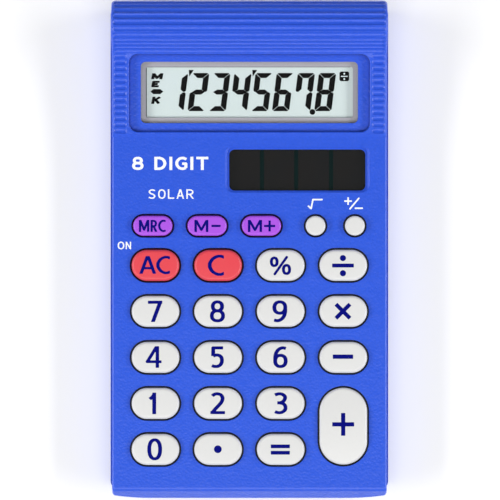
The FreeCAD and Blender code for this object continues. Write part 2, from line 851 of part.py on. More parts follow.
def make_front_case():
    """The moulded top shell, with its flutes, recesses, key openings, bosses and side tongues."""
    parting = size("parting")
    half = size("front_width") / 2
    deep_block = case_block(size("floor_top")).common(plan_prism(0.0, 30.0))
    block = case_block(parting)
    shell = block.makeFillet(size("rim_round"), rim_edges(block, half)).common(plan_prism(0.0, 30.0))

    recess = rounded_prism(size("recess_width"), size("recess_length"), size("recess_corner"), 12.0)
    shell = shell.cut(tilted(recess, 0.0, size("recess_centre")))
    shell = round_recess_rim(shell)
    shell = shell.cut(case_cavity(parting - 1.0))
    gap = 2 * size("window_gap")
    opening = rounded_prism(
        size("window_width") + gap, size("window_length") + gap, size("window_corner"), 6.0)
    shell = shell.cut(tilted(opening, 3.0, size("display_centre")))

    solar_y = size("solar_y")
    solar_top = size("keyboard")
    solar_floor = solar_top - size("solar_recess_depth")
    solar_recess = rounded_prism(
        size("solar_recess_width"), size("solar_recess_length"), size("solar_recess_corner"), 3.0)
    solar_recess.translate(Vector(size("solar_x"), solar_y + size("solar_recess_shift"), solar_floor))
    solar_gap = 2 * size("solar_gap")
    solar_opening = rounded_prism(
        size("solar_width") + solar_gap, size("solar_length") + solar_gap, size("solar_corner"), 6.0)
    solar_opening.translate(Vector(size("solar_x"), solar_y, parting))
    shell = shell.cut(solar_recess)
    solar_rim = level_edges(shell, solar_top, size("solar_x"), solar_y)
    shell = shell.makeChamfer(size("solar_recess_bevel"), solar_rim)
    shell = shell.cut(solar_opening)

    openings = []
    for shape_name, x_place, y_place in key_places().values():
        width, length, _ = (number_of(expression) for expression in KEY_SHAPES[shape_name])
        margin = 2 * size("key_gap")
        opening = stadium_prism(width + margin, length + margin, 6.0)
        opening.translate(Vector(number_of(x_place), number_of(y_place), parting + 1.0))
        openings.append(opening)
    shell = shell.cut(openings)
    for _, x_place, y_place in key_places().values():
        rims = level_edges(shell, solar_top, number_of(x_place), number_of(y_place))
        shell = shell.makeFillet(size("opening_round"), rims)

    meeting = size("boss_meeting") + size("post_gap")
    additions = upright_bosses(case_screw_places(), size("front_boss"), meeting, deep_block)
    board_top = size("board_top") + size("post_gap")
    additions += upright_bosses(board_screw_places(), size("board_boss"), board_top, deep_block)
    tongue_width = size("tongue_outer") - size("tongue_inner")
    tongue_length = size("tongue_far") - size("tongue_near")
    tongue_height = size("tongue_top") - size("tongue_bottom")
    for start in (size("tongue_inner"), -size("tongue_outer")):
        corner = Vector(start, size("tongue_near"), size("tongue_bottom"))
        additions.append(Part.makeBox(tongue_width, tongue_length, tongue_height, corner))
    shell = shell.fuse(additions)

    pilots = []
    for places, radius in (
        (case_screw_places(), size("case_pilot")),
        (board_screw_places(), size("board_pilot")),
    ):
        for x_place, y_place in places:
            base = Vector(number_of(x_place), number_of(y_place), size("floor_top"))
            pilots.append(Part.makeCylinder(radius, size("pilot_top") - size("floor_top"), base))
    shell = shell.cut(pilots + flute_cutters())

    front_case = doc.addObject("Part::Feature", "front_case")
    front_case.Label = "front_case"
    front_case.Shape = shell
    return front_case


# ---------------------------------------------------------------------------------------------------------
# Rear case, feet and screws
# ---------------------------------------------------------------------------------------------------------

def make_rear_case():
    """The moulded tray, with screw bosses, board posts, foot recesses and a plain label panel."""
    body = new_body("rear_case")
    outline = sketch_on(body, "rear_outline", "Sizes.foot_drop", y_shift="Sizes.rear_shift")
    draw_rounded_rectangle(outline, "Sizes.rear_width", "Sizes.rear_length", "Sizes.rear_corner")
    block = pad(body, outline, "rear_block", "Sizes.parting - Sizes.foot_drop")
    doc.recompute()
    lower = edges_at(block.Shape, size("foot_drop"))
    round_edges(body, block, lower, "rear_lower_round", "Sizes.rear_bottom_round")

    hollow = sketch_on(body, "rear_hollow_outline", "Sizes.parting", y_shift="Sizes.rear_shift")
    wall = "2 * Sizes.side_wall"
    draw_rounded_rectangle(
        hollow, f"Sizes.rear_width - {wall}", f"Sizes.rear_length - {wall}", "Sizes.rear_corner / 2")
    pocket(body, hollow, "rear_hollow", "Sizes.parting - Sizes.floor_top")

    bosses = sketch_on(body, "rear_boss_circles", "Sizes.foot_drop + 0.5")
    draw_circles(bosses, case_screw_places(), "Sizes.rear_boss")
    pad(body, bosses, "rear_bosses", "Sizes.boss_meeting - Sizes.foot_drop - 0.5")

    posts = sketch_on(body, "post_circles", "Sizes.foot_drop + 0.5")
    post_places = [
        (column_x(column + 0.5), row_y(row + 0.5)) for column in (0, 1, 2) for row in (1, 3)
    ]
    draw_circles(posts, post_places, "Sizes.post_radius")
    pad(body, posts, "posts", "Sizes.board_bottom - Sizes.post_gap - Sizes.foot_drop - 0.5")

    bores = sketch_on(body, "counterbore_circles", "Sizes.foot_drop")
    draw_circles(bores, case_screw_places(), "Sizes.counterbore")
    pocket(body, bores, "counterbores", "Sizes.counterbore_top - Sizes.foot_drop", upward=True)

    holes = sketch_on(body, "clearance_circles", "Sizes.foot_drop")
    draw_circles(holes, case_screw_places(), "Sizes.case_clearance")
    pocket(body, holes, "clearance_holes", "Sizes.parting", upward=True)

    recesses = sketch_on(body, "foot_circles", "Sizes.foot_drop")
    draw_circles(recesses, foot_places().values(), "Sizes.foot_radius + Sizes.foot_recess_gap")
    pocket(body, recesses, "foot_recesses", "Sizes.foot_recess", upward=True)

    label = sketch_on(body, "label_outline", "Sizes.foot_drop", y_shift="Sizes.label_y")
    draw_rounded_rectangle(label, "Sizes.label_width", "Sizes.label_length", "Sizes.label_corner")
    pocket(body, label, "label_panel", "Sizes.label_depth", upward=True)
    return body


def foot_places():
    """Every foot's name and place, as expressions."""
    return {
        "foot_front_left": ("-1 * Sizes.foot_x", "Sizes.foot_near"),
        "foot_front_right": ("Sizes.foot_x", "Sizes.foot_near"),
        "foot_rear_left": ("-1 * Sizes.foot_x", "Sizes.foot_far"),
        "foot_rear_right": ("Sizes.foot_x", "Sizes.foot_far"),
    }


def make_foot(name, x_place, y_place):
    """A round rubber foot set into its recess."""
    body = new_body(name)
    disc = body.newObject("PartDesign::AdditiveCylinder", f"{name}_disc")
    bind(disc, Radius="Sizes.foot_radius", Height="Sizes.foot_drop + Sizes.foot_recess")
    doc.recompute()
    round_edges(body, disc, edges_at(disc.Shape, 0.0)[:1], f"{name}_round", "Sizes.foot_round")
    bind(body, Placement__Base__x=x_place, Placement__Base__y=y_place)
    return body


def make_screws(name, places, head, shank):
    """A group of cross-slotted screws; head and shank each hold radius, bottom and top expressions."""
    head_radius, head_bottom, head_top = head
    shank_radius, shank_top = shank
    screws = []
    for number, (x_place, y_place) in enumerate(places):
        label = f"{name}_{number}"
        cap = cylinder(
            f"{label}_head", head_radius, f"{head_top} - {head_bottom}", x_place, y_place, head_bottom)
        rod = cylinder(
            f"{label}_shank", shank_radius, f"{shank_top} - {head_top}", x_place, y_place, head_top)
        blank = fuse(f"{label}_blank", [cap, rod])
        slots = []
        spans = (("slot_length", "slot_width"), ("slot_width", "slot_length"))
        for turn, (x_size, y_size) in enumerate(spans):
            slot = doc.addObject("Part::Box", f"{label}_slot_{turn}")
            bind(
                slot,
                Length=f"Sizes.{x_size}",
                Width=f"Sizes.{y_size}",
                Height="Sizes.slot_depth",
                Placement__Base__x=f"{x_place} - Sizes.{x_size} / 2",
                Placement__Base__y=f"{y_place} - Sizes.{y_size} / 2",
                Placement__Base__z=head_bottom,
            )
            slots.append(slot)
        cross = fuse(f"{label}_cross", slots)
        screw = doc.addObject("Part::Cut", label)
        screw.Base = blank
        screw.Tool = cross
        screws.append(screw)
    return group(name, screws)


# ---------------------------------------------------------------------------------------------------------
# Display and solar panel
# ---------------------------------------------------------------------------------------------------------

def tilt_body(body):
    """Move a body drawn flat about the display's middle into the display's tilted frame."""
    body.Placement = Placement(Vector(0, 0, 0), Rotation(Vector(1, 0, 0), 1.0))
    tilt = "Sizes.display_tilt"
    run = "(Sizes.display_centre - Sizes.step_end)"
    face = f"Sizes.keyboard + Sizes.step_rise + {run} * tan({tilt} * 1 deg)"
    bind(
        body,
        Placement__Base__y="Sizes.display_centre",
        Placement__Base__z=f"{face} - Sizes.recess_depth / cos({tilt} * 1 deg)",
        Placement__Rotation__Angle=tilt,
    )


def make_display_layer(name, outline, drop, thickness, shift="0"):
    """One flat layer of the display, its top a drop below the recess floor."""
    body = plate(name, outline, f"-1 * ({drop}) - ({thickness})", thickness, y_shift=shift)
    tilt_body(body)
    return body


def make_display():
    """The window, the mask and the layers of the liquid crystal display, from the top down."""
    glass_corner = "Sizes.glass_corner"
    layers = [make_display_layer(
        "display_window", ("Sizes.window_width", "Sizes.window_length", "Sizes.window_corner"),
        "Sizes.window_drop", "Sizes.window_thickness")]

    mask = make_display_layer(
        "display_frame", ("Sizes.frame_width", "Sizes.frame_length", "Sizes.frame_corner"),
        "Sizes.frame_drop", "Sizes.frame_thickness")
    sight = sketch_on(mask, "sight_outline", "-1 * Sizes.frame_drop")
    draw_rounded_rectangle(
        sight, "Sizes.frame_sight_width", "Sizes.frame_sight_length", "Sizes.frame_sight_corner")
    pocket(mask, sight, "sight_opening", "Sizes.frame_thickness")
    layers.append(mask)

    layers.append(make_display_layer(
        "lcd_front_polariser", ("Sizes.glass_width", "Sizes.polariser_length", glass_corner),
        "Sizes.polariser_drop", "Sizes.film_thickness"))
    layers.append(make_display_layer(
        "lcd_front_glass", ("Sizes.glass_width", "Sizes.front_glass_length", glass_corner),
        "Sizes.front_glass_drop", "Sizes.glass_thickness", "Sizes.front_glass_shift"))
    layers.append(make_display_layer(
        "lcd_rear_glass", ("Sizes.glass_width", "Sizes.rear_glass_length", glass_corner),
        "Sizes.rear_glass_drop", "Sizes.glass_thickness", "Sizes.rear_glass_shift"))
    layers.append(make_display_layer(
        "lcd_reflector", ("Sizes.glass_width", "Sizes.polariser_length", glass_corner),
        "Sizes.reflector_drop", "Sizes.film_thickness", "Sizes.rear_glass_shift"))
    layers.append(make_display_layer(
        "lcd_pad", ("Sizes.foam_width", "Sizes.foam_length", glass_corner),
        "Sizes.foam_drop", "Sizes.foam_thickness"))
    layers.append(plate(
        "zebra_connector", ("Sizes.zebra_width", "Sizes.zebra_length", "0.2"),
        "Sizes.board_top", "Sizes.zebra_top - Sizes.board_top", y_shift="Sizes.zebra_centre"))
    return layers


def make_lead(name, y_place):
    """An insulated wire from the solar cell's back down to the board, with two gentle bends."""
    radius = size("lead_radius")
    level = size("cell_bottom") - radius - size("post_gap")
    landing = size("board_top") + radius + size("post_gap")
    start = Vector(size("lead_start_x"), y_place, level)
    points = [start]
    points.append(start - Vector(size("lead_level_run"), 0, 0))
    points.append(Vector(points[-1].x - size("lead_slope_run"), y_place, landing))
    points.append(points[-1] - Vector(size("lead_end_run"), 0, 0))
    edges = []
    place = points[0]
    for before, bend, after in zip(points, points[1:], points[2:]):
        incoming = (bend - before).normalize()
        outgoing = (after - bend).normalize()
        half_turn = incoming.getAngle(outgoing) / 2
        setback = size("lead_bend") * math.tan(half_turn)
        arc_start = bend - incoming * setback
        arc_end = bend + outgoing * setback
        inward = (outgoing - incoming).normalize()
        middle = bend + inward * (size("lead_bend") * (1 / math.cos(half_turn) - 1))
        edges.append(Part.LineSegment(place, arc_start).toShape())
        edges.append(Part.Arc(arc_start, middle, arc_end).toShape())
        place = arc_end
    edges.append(Part.LineSegment(place, points[-1]).toShape())
    section = Part.Wire(Part.Circle(points[0], Vector(1, 0, 0), radius).toShape())
    lead = doc.addObject("Part::Feature", name)
    lead.Label = name
    lead.Shape = Part.Wire(edges).makePipeShell([section], True, False)
    return lead


def make_solar_panel():
    """The clear cover, the cell, its foam and its two leads."""
    place = {"x_shift": "Sizes.solar_x", "y_shift": "Sizes.solar_y"}
    pieces = [plate(
        "solar_window", ("Sizes.solar_width", "Sizes.solar_length", "Sizes.solar_corner"),
        "Sizes.solar_window_bottom", "Sizes.solar_window_thickness", **place)]
    pieces.append(plate(
        "solar_cell", ("Sizes.cell_width", "Sizes.cell_length", "Sizes.cell_corner"),
        "Sizes.cell_bottom", "Sizes.cell_thickness", **place))
    pieces.append(plate(
        "solar_pad", ("Sizes.solar_pad_width", "Sizes.solar_pad_length", "0.5"),
        "Sizes.solar_pad_bottom", "Sizes.solar_pad_thickness", **place))
    half_spacing = size("lead_spacing") / 2
    pieces.append(make_lead("solar_lead_positive", size("solar_y") + half_spacing))
    pieces.append(make_lead("solar_lead_negative", size("solar_y") - half_spacing))
    return pieces


# ---------------------------------------------------------------------------------------------------------
# Circuit board
# ---------------------------------------------------------------------------------------------------------

def make_circuit_board():
    """The board, with a clearance hole for each board screw."""
    board = plate(
        "circuit_board", ("Sizes.board_width", "Sizes.board_length", "Sizes.board_corner"),
        "Sizes.board_bottom", "Sizes.board_top - Sizes.board_bottom", y_shift="Sizes.board_centre")
    holes = sketch_on(board, "board_hole_circles", "Sizes.board_bottom")
    draw_circles(holes, board_screw_places(), "Sizes.board_hole")
    pocket(board, holes, "board_holes", "Sizes.board_top", upward=True)
    return board


def make_chip_cover():
    """The shallow drop of epoxy over the chip, under the board."""
    ball_radius = "(Sizes.chip_radius ^ 2 + Sizes.chip_drop ^ 2) / (2 * Sizes.chip_drop)"
    ball = doc.addObject("Part::Sphere", "chip_ball")
    lowest = "Sizes.board_bottom - Sizes.chip_drop"
    bind(
        ball,
        Radius=ball_radius,
        Placement__Base__x="Sizes.chip_x",
        Placement__Base__y="Sizes.chip_y",
        Placement__Base__z=f"{lowest} + {ball_radius}",
    )
    slab = cylinder(
        "chip_slab", "Sizes.chip_radius + 1", "Sizes.chip_drop", "Sizes.chip_x", "Sizes.chip_y", lowest)
    cover = doc.addObject("Part::Common", "chip_cover")
    cover.Base = ball
    cover.Tool = slab
    cover.Label = "chip_cover"
    return cover


def lying_cylinder(name, radius, length, x_middle, height):
    """A cylinder along X over the board's row of parts; all arguments are expressions."""
    item = doc.addObject("Part::Cylinder", name)
    item.Placement = Placement(Vector(0, 0, 0), Rotation(Vector(0, 1, 0), 90))
    bind(
        item,
        Radius=radius,
        Height=length,
        Placement__Base__x=f"{x_middle} - ({length}) / 2",
        Placement__Base__y="Sizes.parts_row",
        Placement__Base__z=height,
    )
    return item


def axial_part(name, radius, length, x_middle):
    """A round part lying on the board, with a wire at each end that turns down to the board."""
    height = f"Sizes.board_top + Sizes.post_gap + {radius}"
    overall = f"{length} + 2 * Sizes.lead_overhang"
    body = lying_cylinder(f"{name}_body", radius, length, x_middle, height)
    wire = lying_cylinder(f"{name}_wire", "Sizes.lead_wire", overall, x_middle, height)
    legs = []
    for side in (-1, 1):
        x_leg = f"{x_middle} + {side} * (({length}) / 2 + Sizes.lead_overhang)"
        legs.append(cylinder(
            f"{name}_leg_{side + 1}", "Sizes.lead_wire", f"{height} + Sizes.lead_wire - Sizes.board_top",
            x_leg, "Sizes.parts_row", "Sizes.board_top"))
    part = fuse(name, [body, wire] + legs)
    part.Label = name
    return part


def make_board_parts():
    """The capacitor, the clamp diode and the resistors, in a row behind the display."""
    capacitor = axial_part(
        "capacitor", "Sizes.capacitor_radius", "Sizes.capacitor_length", "Sizes.capacitor_x")
    diode = axial_part("diode", "Sizes.diode_radius", "Sizes.diode_length", "Sizes.diode_x")
    resistors = [
        axial_part(
            f"resistor_{number}", "Sizes.resistor_radius", "Sizes.resistor_length",
            f"Sizes.resistor_x + Sizes.resistor_pitch * {number}")
        for number in (0, 1)
    ]
    return [capacitor, diode, group("resistors", resistors)]


# ---------------------------------------------------------------------------------------------------------
# Keys and their rubber sheet
# ---------------------------------------------------------------------------------------------------------

def draw_key_outline(sketch, shape_name, margin="0"):
    """Draw one key's outline, widened by a margin all round."""
    width, length, _ = KEY_SHAPES[shape_name]
    if shape_name == "round":
        draw_circles(sketch, [("0", "0")], f"{width} / 2 + {margin}")
        return
    wide = f"{width} + 2 * ({margin})"
    deep = f"{length} + 2 * ({margin})"
    draw_stadium(sketch, wide, deep, upright=shape_name == "tall")


def crown_groove(body, name):
    """Turn off everything above a shallow crown on top of a key."""
    datums = {feature.Role: feature for feature in body.Origin.OriginFeatures}
    sketch = body.newObject("Sketcher::SketchObject", f"{name}_crown_sketch")
    sketch.AttachmentSupport = [(datums["XZ_Plane"], "")]
    sketch.MapMode = "FlatFace"
    bind(sketch, AttachmentOffset__Base__y="Sizes.key_crown")
    radius = size("crown_radius")
    reach = 12.0
    clear = 3.0
    fall = radius - math.sqrt(radius ** 2 - reach ** 2)
    circle = Part.Circle(Vector(0, -radius, 0), Vector(0, 0, 1), radius)
    end_angle = math.atan2(radius - fall, reach)
    arc = sketch.addGeometry(Part.ArcOfCircle(circle, end_angle, math.pi / 2))
    corners = [Vector(0, 0, 0), Vector(0, clear, 0), Vector(reach, clear, 0), Vector(reach, -fall, 0)]
    lines = [
        sketch.addGeometry(Part.LineSegment(start, end)) for start, end in zip(corners, corners[1:])
    ]
    sketch.addConstraint(Sketcher.Constraint("Coincident", arc, 2, lines[0], 1))
    sketch.addConstraint(Sketcher.Constraint("Coincident", lines[0], 2, lines[1], 1))
    sketch.addConstraint(Sketcher.Constraint("Coincident", lines[1], 2, lines[2], 1))
    sketch.addConstraint(Sketcher.Constraint("Coincident", lines[2], 2, arc, 1))
    sketch.addConstraint(Sketcher.Constraint("Coincident", lines[0], 1, -1, 1))
    sketch.addConstraint(Sketcher.Constraint("Vertical", lines[0]))
    sketch.addConstraint(Sketcher.Constraint("Horizontal", lines[1]))
    sketch.addConstraint(Sketcher.Constraint("Vertical", lines[2]))
    sketch.addConstraint(Sketcher.Constraint("PointOnObject", arc, 3, -2))
    sketch.addConstraint(Sketcher.Constraint("Radius", arc, radius))
    name_last(sketch, "crown", "Sizes.crown_radius")
    sketch.addConstraint(Sketcher.Constraint("Distance", lines[0], clear))
    sketch.addConstraint(Sketcher.Constraint("Distance", lines[1], reach))
    groove = body.newObject("PartDesign::Groove", f"{name}_crown")
    groove.Profile = sketch
    groove.ReferenceAxis = (datums["Z_Axis"], [""])
    groove.Angle = 360.0
    return groove


def make_key(name, shape_name, x_place, y_place):
    """One key: a flange that the case holds down, a cap through the case and a shallow crown."""
    body = new_body(name)
    flange = sketch_on(body, f"{name}_flange_outline", "Sizes.flange_bottom")
    draw_key_outline(flange, shape_name, "Sizes.flange_margin")
    pad(body, flange, f"{name}_flange", "Sizes.flange_top - Sizes.flange_bottom")
    cap = sketch_on(body, f"{name}_cap_outline", "Sizes.flange_top")
    draw_key_outline(cap, shape_name)
    pad(body, cap, f"{name}_cap", "Sizes.key_crown - Sizes.flange_top + 0.5")
    groove = crown_groove(body, name)
    doc.recompute()
    crown_edges = [
        f"Edge{number}" for number, edge in enumerate(groove.Shape.Edges, start=1)
        if edge.BoundBox.ZMin > size("keyboard") and edge.BoundBox.ZMax < size("key_crown") - 0.01
    ]
    round_edges(body, groove, crown_edges, f"{name}_rim", KEY_SHAPES[shape_name][2])
    bind(body, Placement__Base__x=x_place, Placement__Base__y=y_place)
    return body


def make_keypad_sheet(places):
    """The rubber sheet: a flat web with a hollow dome and a core under each key."""
    body = plate(
        "keypad_sheet", ("Sizes.sheet_width", "Sizes.sheet_length", "Sizes.sheet_corner"),
        "Sizes.board_top", "Sizes.sheet_top - Sizes.board_top", y_shift="Sizes.sheet_centre")
    domes = sketch_on(body, "dome_circles", "Sizes.sheet_top")
    draw_circles(domes, places, "Sizes.dome_base")
    dome_pad = pad(body, domes, "domes", "Sizes.dome_top - Sizes.sheet_top")
    bind(dome_pad, TaperAngle="-1 * Sizes.dome_taper")
    hollows = sketch_on(body, "hollow_circles", "Sizes.board_top")
    draw_circles(hollows, places, "Sizes.dome_hollow")
    hollow_pocket = pocket(body, hollows, "dome_hollows", "Sizes.dome_hollow_height", upward=True)
    bind(hollow_pocket, TaperAngle="-1 * Sizes.dome_taper")
    cores = sketch_on(body, "core_circles", "Sizes.pill_top")
    draw_circles(cores, places, "Sizes.core_radius")
    pad(body, cores, "cores", "Sizes.dome_top - Sizes.pill_top")
    holes = sketch_on(body, "sheet_hole_circles", "Sizes.board_top")
    draw_circles(holes, keyboard_screw_places(), "Sizes.sheet_hole")
    pocket(body, holes, "sheet_holes", "Sizes.sheet_top", upward=True)
    return body


def make_contact_pills(places):
    """The carbon pills that hang under the domes' cores."""
    pills = [
        cylinder(
            f"pill_{number}", "Sizes.core_radius", "Sizes.pill_top - Sizes.pill_bottom",
            x_place, y_place, "Sizes.pill_bottom")
        for number, (x_place, y_place) in enumerate(places)
    ]
    return group("contact_pills", pills)


# ---------------------------------------------------------------------------------------------------------
# The whole object
# ---------------------------------------------------------------------------------------------------------

def make_all():
    """Build every part of the calculator and return the objects that are written out."""
    fill_sheet()
    keys = key_places()
    middles = [(x_place, y_place) for _, x_place, y_place in keys.values()]
    parts = [make_front_case(), make_rear_case()]
    parts += [make_foot(name, *place) for name, place in foot_places().items()]
    parts.append(make_screws(
        "case_screws", case_screw_places(),
        ("Sizes.case_head", "Sizes.case_head_bottom", "Sizes.counterbore_top"),
        ("Sizes.case_shank", "Sizes.case_screw_top")))
    parts.append(make_screws(
        "board_screws", board_screw_places(),
        ("Sizes.board_head", "(Sizes.board_bottom - Sizes.board_head_drop)", "Sizes.board_bottom"),
        ("Sizes.board_shank", "Sizes.board_screw_top")))
    parts += make_display()
    parts += make_solar_panel()
    parts += [make_circuit_board(), make_chip_cover()]
    parts += make_board_parts()
    parts += [make_keypad_sheet(middles), make_contact_pills(middles)]
    parts += [make_key(name, *place) for name, place in keys.items()]
    return parts


def check_document(parts):
    """Stop with a message if any object failed or any part has no valid shape."""
    doc.recompute()
    failed = [item.Name for item in doc.Objects if {"Invalid", "Error"} & set(item.State)]
    if failed:
        raise RuntimeError(f"these objects failed: {failed}")
    for part in parts:
        if part.Shape.isNull() or not part.Shape.isValid():
            raise RuntimeError(f"{part.Label} has no valid shape")


def write_parts(parts):
    """Write each part to its own STEP file, named after its label."""
    os.makedirs("parts", exist_ok=True)
    for part in parts:
        part.Shape.exportStep(f"parts/{part.Label}.step")
        print(f"{part.Label}: {len(part.Shape.Solids)} solid(s), {part.Shape.Volume:.1f} cubic mm")


all_parts = make_all()
check_document(all_parts)
write_parts(all_parts)
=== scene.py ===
"""Looks of a solar desk calculator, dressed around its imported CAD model.

The frame is the CAD model's own: metres, +Z up, +Y from the keyboard to the ribbed crest, +X to the right.
Sizes in the classes below are in millimetres, because that is how a maker's drawing gives them.
"""

import json
import logging
import math
from dataclasses import dataclass, field
from enum import Enum
from functools import cache
from typing import Protocol, Sequence

import bpy
import numpy as np
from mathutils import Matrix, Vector

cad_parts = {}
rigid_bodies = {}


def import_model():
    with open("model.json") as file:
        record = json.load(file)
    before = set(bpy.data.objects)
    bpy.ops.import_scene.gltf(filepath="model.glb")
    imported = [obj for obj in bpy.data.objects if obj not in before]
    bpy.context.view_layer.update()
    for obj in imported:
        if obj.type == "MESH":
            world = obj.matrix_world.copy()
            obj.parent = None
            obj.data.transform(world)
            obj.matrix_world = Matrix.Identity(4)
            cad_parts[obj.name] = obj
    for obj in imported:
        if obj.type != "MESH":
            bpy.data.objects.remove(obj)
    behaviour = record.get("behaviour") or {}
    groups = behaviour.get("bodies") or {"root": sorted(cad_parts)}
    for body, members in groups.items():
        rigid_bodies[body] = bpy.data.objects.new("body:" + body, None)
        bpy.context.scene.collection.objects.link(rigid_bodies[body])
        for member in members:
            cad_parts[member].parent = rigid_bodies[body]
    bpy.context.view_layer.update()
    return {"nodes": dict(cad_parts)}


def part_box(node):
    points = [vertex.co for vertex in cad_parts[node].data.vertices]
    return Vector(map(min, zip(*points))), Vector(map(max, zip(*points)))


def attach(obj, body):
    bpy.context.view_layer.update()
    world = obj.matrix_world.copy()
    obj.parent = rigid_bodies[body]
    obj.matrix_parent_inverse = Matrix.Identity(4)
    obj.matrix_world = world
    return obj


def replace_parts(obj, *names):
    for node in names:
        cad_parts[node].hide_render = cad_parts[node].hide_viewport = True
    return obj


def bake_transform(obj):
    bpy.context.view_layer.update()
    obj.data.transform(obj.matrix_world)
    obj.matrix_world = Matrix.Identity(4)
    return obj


for leftover in list(bpy.data.objects):
    bpy.data.objects.remove(leftover)
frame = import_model()

LOG = logging.getLogger("calculator")
MM = 0.001

Colour = tuple[float, float, float]
Point = tuple[float, float]
Box = tuple[float, float, float, float]
Pen = tuple[float, float]
Grid = tuple[np.ndarray, np.ndarray]
Socket = bpy.types.NodeSocket
Material = bpy.types.Material
Piece = bpy.types.Object


# ---------------------------------------------------------------------------------------------------------
# Finishes
# ---------------------------------------------------------------------------------------------------------

def shade(colour: Colour, factor: float) -> Colour:
    """Lighten or darken a colour."""
    return tuple(min(1.0, channel * factor) for channel in colour)


class Recipe:
    """A material's or the sky's node tree, with short ways to add what it is made of."""

    def __init__(self, holder: Material | bpy.types.World) -> None:
        """Start with an empty tree.

        Args:
            holder: The material or world.
        """
        self.holder = holder
        holder.use_nodes = True
        self.tree = holder.node_tree
        self.tree.nodes.clear()
        self.places = self.add("TexCoord").outputs

    def add(self, kind: str, **settings: object) -> bpy.types.Node:
        """Add a node.

        Args:
            kind: The node type's name after "ShaderNode".
            settings: Node properties by name, or sockets' values by their name with spaces as underscores.

        Returns:
            The node.
        """
        node = self.tree.nodes.new("ShaderNode" + kind)
        for key, value in settings.items():
            socket = key.replace("_", " ")
            if socket in node.inputs:
                node.inputs[socket].default_value = value
            else:
                setattr(node, key, value)
        return node

    def join(self, source: Socket, target: Socket) -> None:
        """Link one socket to another."""
        self.tree.links.new(source, target)

    def noise(self, cell: float, detail: float = 2.0, factors: Colour = (1, 1, 1)) -> Socket:
        """Cloudy noise.

        Args:
            cell: Size of a cloud, in millimetres.
            detail: Octaves of finer noise.
            factors: Stretch along each axis.

        Returns:
            The noise, from 0 to 1.
        """
        mapping = self.add("Mapping", Scale=factors)
        self.join(self.places["Object"], mapping.inputs["Vector"])
        texture = self.add("TexNoise", Scale=1 / (cell * MM), Detail=detail, Roughness=0.55)
        self.join(mapping.outputs["Vector"], texture.inputs["Vector"])
        return texture.outputs["Fac"]

    def spots(self, cell: float) -> Socket:
        """Rounded pits a given distance apart, as spark erosion leaves in a mould."""
        texture = self.add("TexVoronoi", Scale=1 / (cell * MM), feature="SMOOTH_F1")
        self.join(self.places["Object"], texture.inputs["Vector"])
        return texture.outputs["Distance"]

    def spread(self, value: Socket, old: Point, new: Point) -> Socket:
        """Carry a value from one range over to another.

        Args:
            value: The value.
            old: The range that it has; what lies outside is held at its ends.
            new: The range that it gets.

        Returns:
            The new value.
        """
        ranges = self.add("MapRange")
        for socket, limit in zip(ranges.inputs[1:5], (*old, *new)):
            socket.default_value = limit
        self.join(value, ranges.inputs["Value"])
        return ranges.outputs["Result"]

    def fade(self, noise: Socket, low: float, high: float) -> Socket:
        """Spread the middle of a noise over a new range."""
        return self.spread(noise, (0.3, 0.7), (low, high))

    def blend(self, factor: Socket, first: Colour, second: Colour | Socket) -> Socket:
        """Mix two colours by a pattern.

        Args:
            factor: The pattern, 0 for the first colour and 1 for the second.
            first: The first colour.
            second: The second colour.

        Returns:
            The mixed colour.
        """
        mix = self.add("Mix", data_type="RGBA")
        sockets = [socket for socket in mix.inputs if socket.type == "RGBA"]
        for socket, colour in zip(sockets, (first, second)):
            if isinstance(colour, tuple):
                socket.default_value = (*colour, 1)
            else:
                self.join(colour, socket)
        self.join(factor, mix.inputs["Factor"])
        return next(socket for socket in mix.outputs if socket.type == "RGBA")

    def vary(self, pattern: Socket, colour: Colour, low: float, high: float) -> Socket:
        """Darken and lighten a colour by a pattern."""
        return self.blend(pattern, shade(colour, low), shade(colour, high))

    def relief(self, height: Socket, depth: float, under: Socket | None = None) -> Socket:
        """Bump from a pattern.

        Args:
            height: The pattern.
            depth: Depth of the pattern, in millimetres.
            under: A coarser bump that this one lies on.

        Returns:
            The bumped normal.
        """
        bump = self.add("Bump", Strength=1.0, Distance=depth * MM)
        self.join(height, bump.inputs["Height"])
        if under is not None:
            self.join(under, bump.inputs["Normal"])
        return bump.outputs["Normal"]

    def paint_gap_shade(self, tone: Socket, reach: float, colour: Colour) -> Socket:
        """Paint shade into a colour in narrow gaps and inner corners, darkening it by ambient occlusion where
        little light gets in.

        Args:
            tone: The open surface's colour.
            reach: How near another surface must be, in millimetres.
            colour: The open surface's middle colour, of which the gaps keep a trace.

        Returns:
            The shaded colour.
        """
        # Painted shade: the ambient occlusion node darkens the colour wherever another surface is near.
        painted_shade = self.add("AmbientOcclusion", Distance=reach * MM, samples=6)
        openness = self.spread(painted_shade.outputs["AO"], (0.12, 0.80), (0.0, 1.0))
        return self.blend(openness, shade(colour, 0.04), tone)

    def surface(self, tone: Socket, roughness: Socket, normal: Socket, **settings: float) -> Material:
        """Make an opaque surface of what has been mixed.

        Args:
            tone: Its colour.
            roughness: Its roughness.
            normal: Its bumped normal.
            settings: The shader's other values, by socket name with spaces as underscores.

        Returns:
            The material.
        """
        shader = self.add("BsdfPrincipled", **settings)
        for name, source in (("Base Color", tone), ("Roughness", roughness), ("Normal", normal)):
            self.join(source, shader.inputs[name])
        return self.finish(shader)

    def finish(self, shader: bpy.types.Node, output: str = "OutputMaterial") -> Material | bpy.types.World:
        """Send a shader to the output and hand back the material or world."""
        self.join(shader.outputs[0], self.add(output).inputs["Surface"])
        return self.holder


class Finish(Protocol):
    """Anything that can make a material."""

    def build(self) -> Material:
        """Make the material."""
        ...


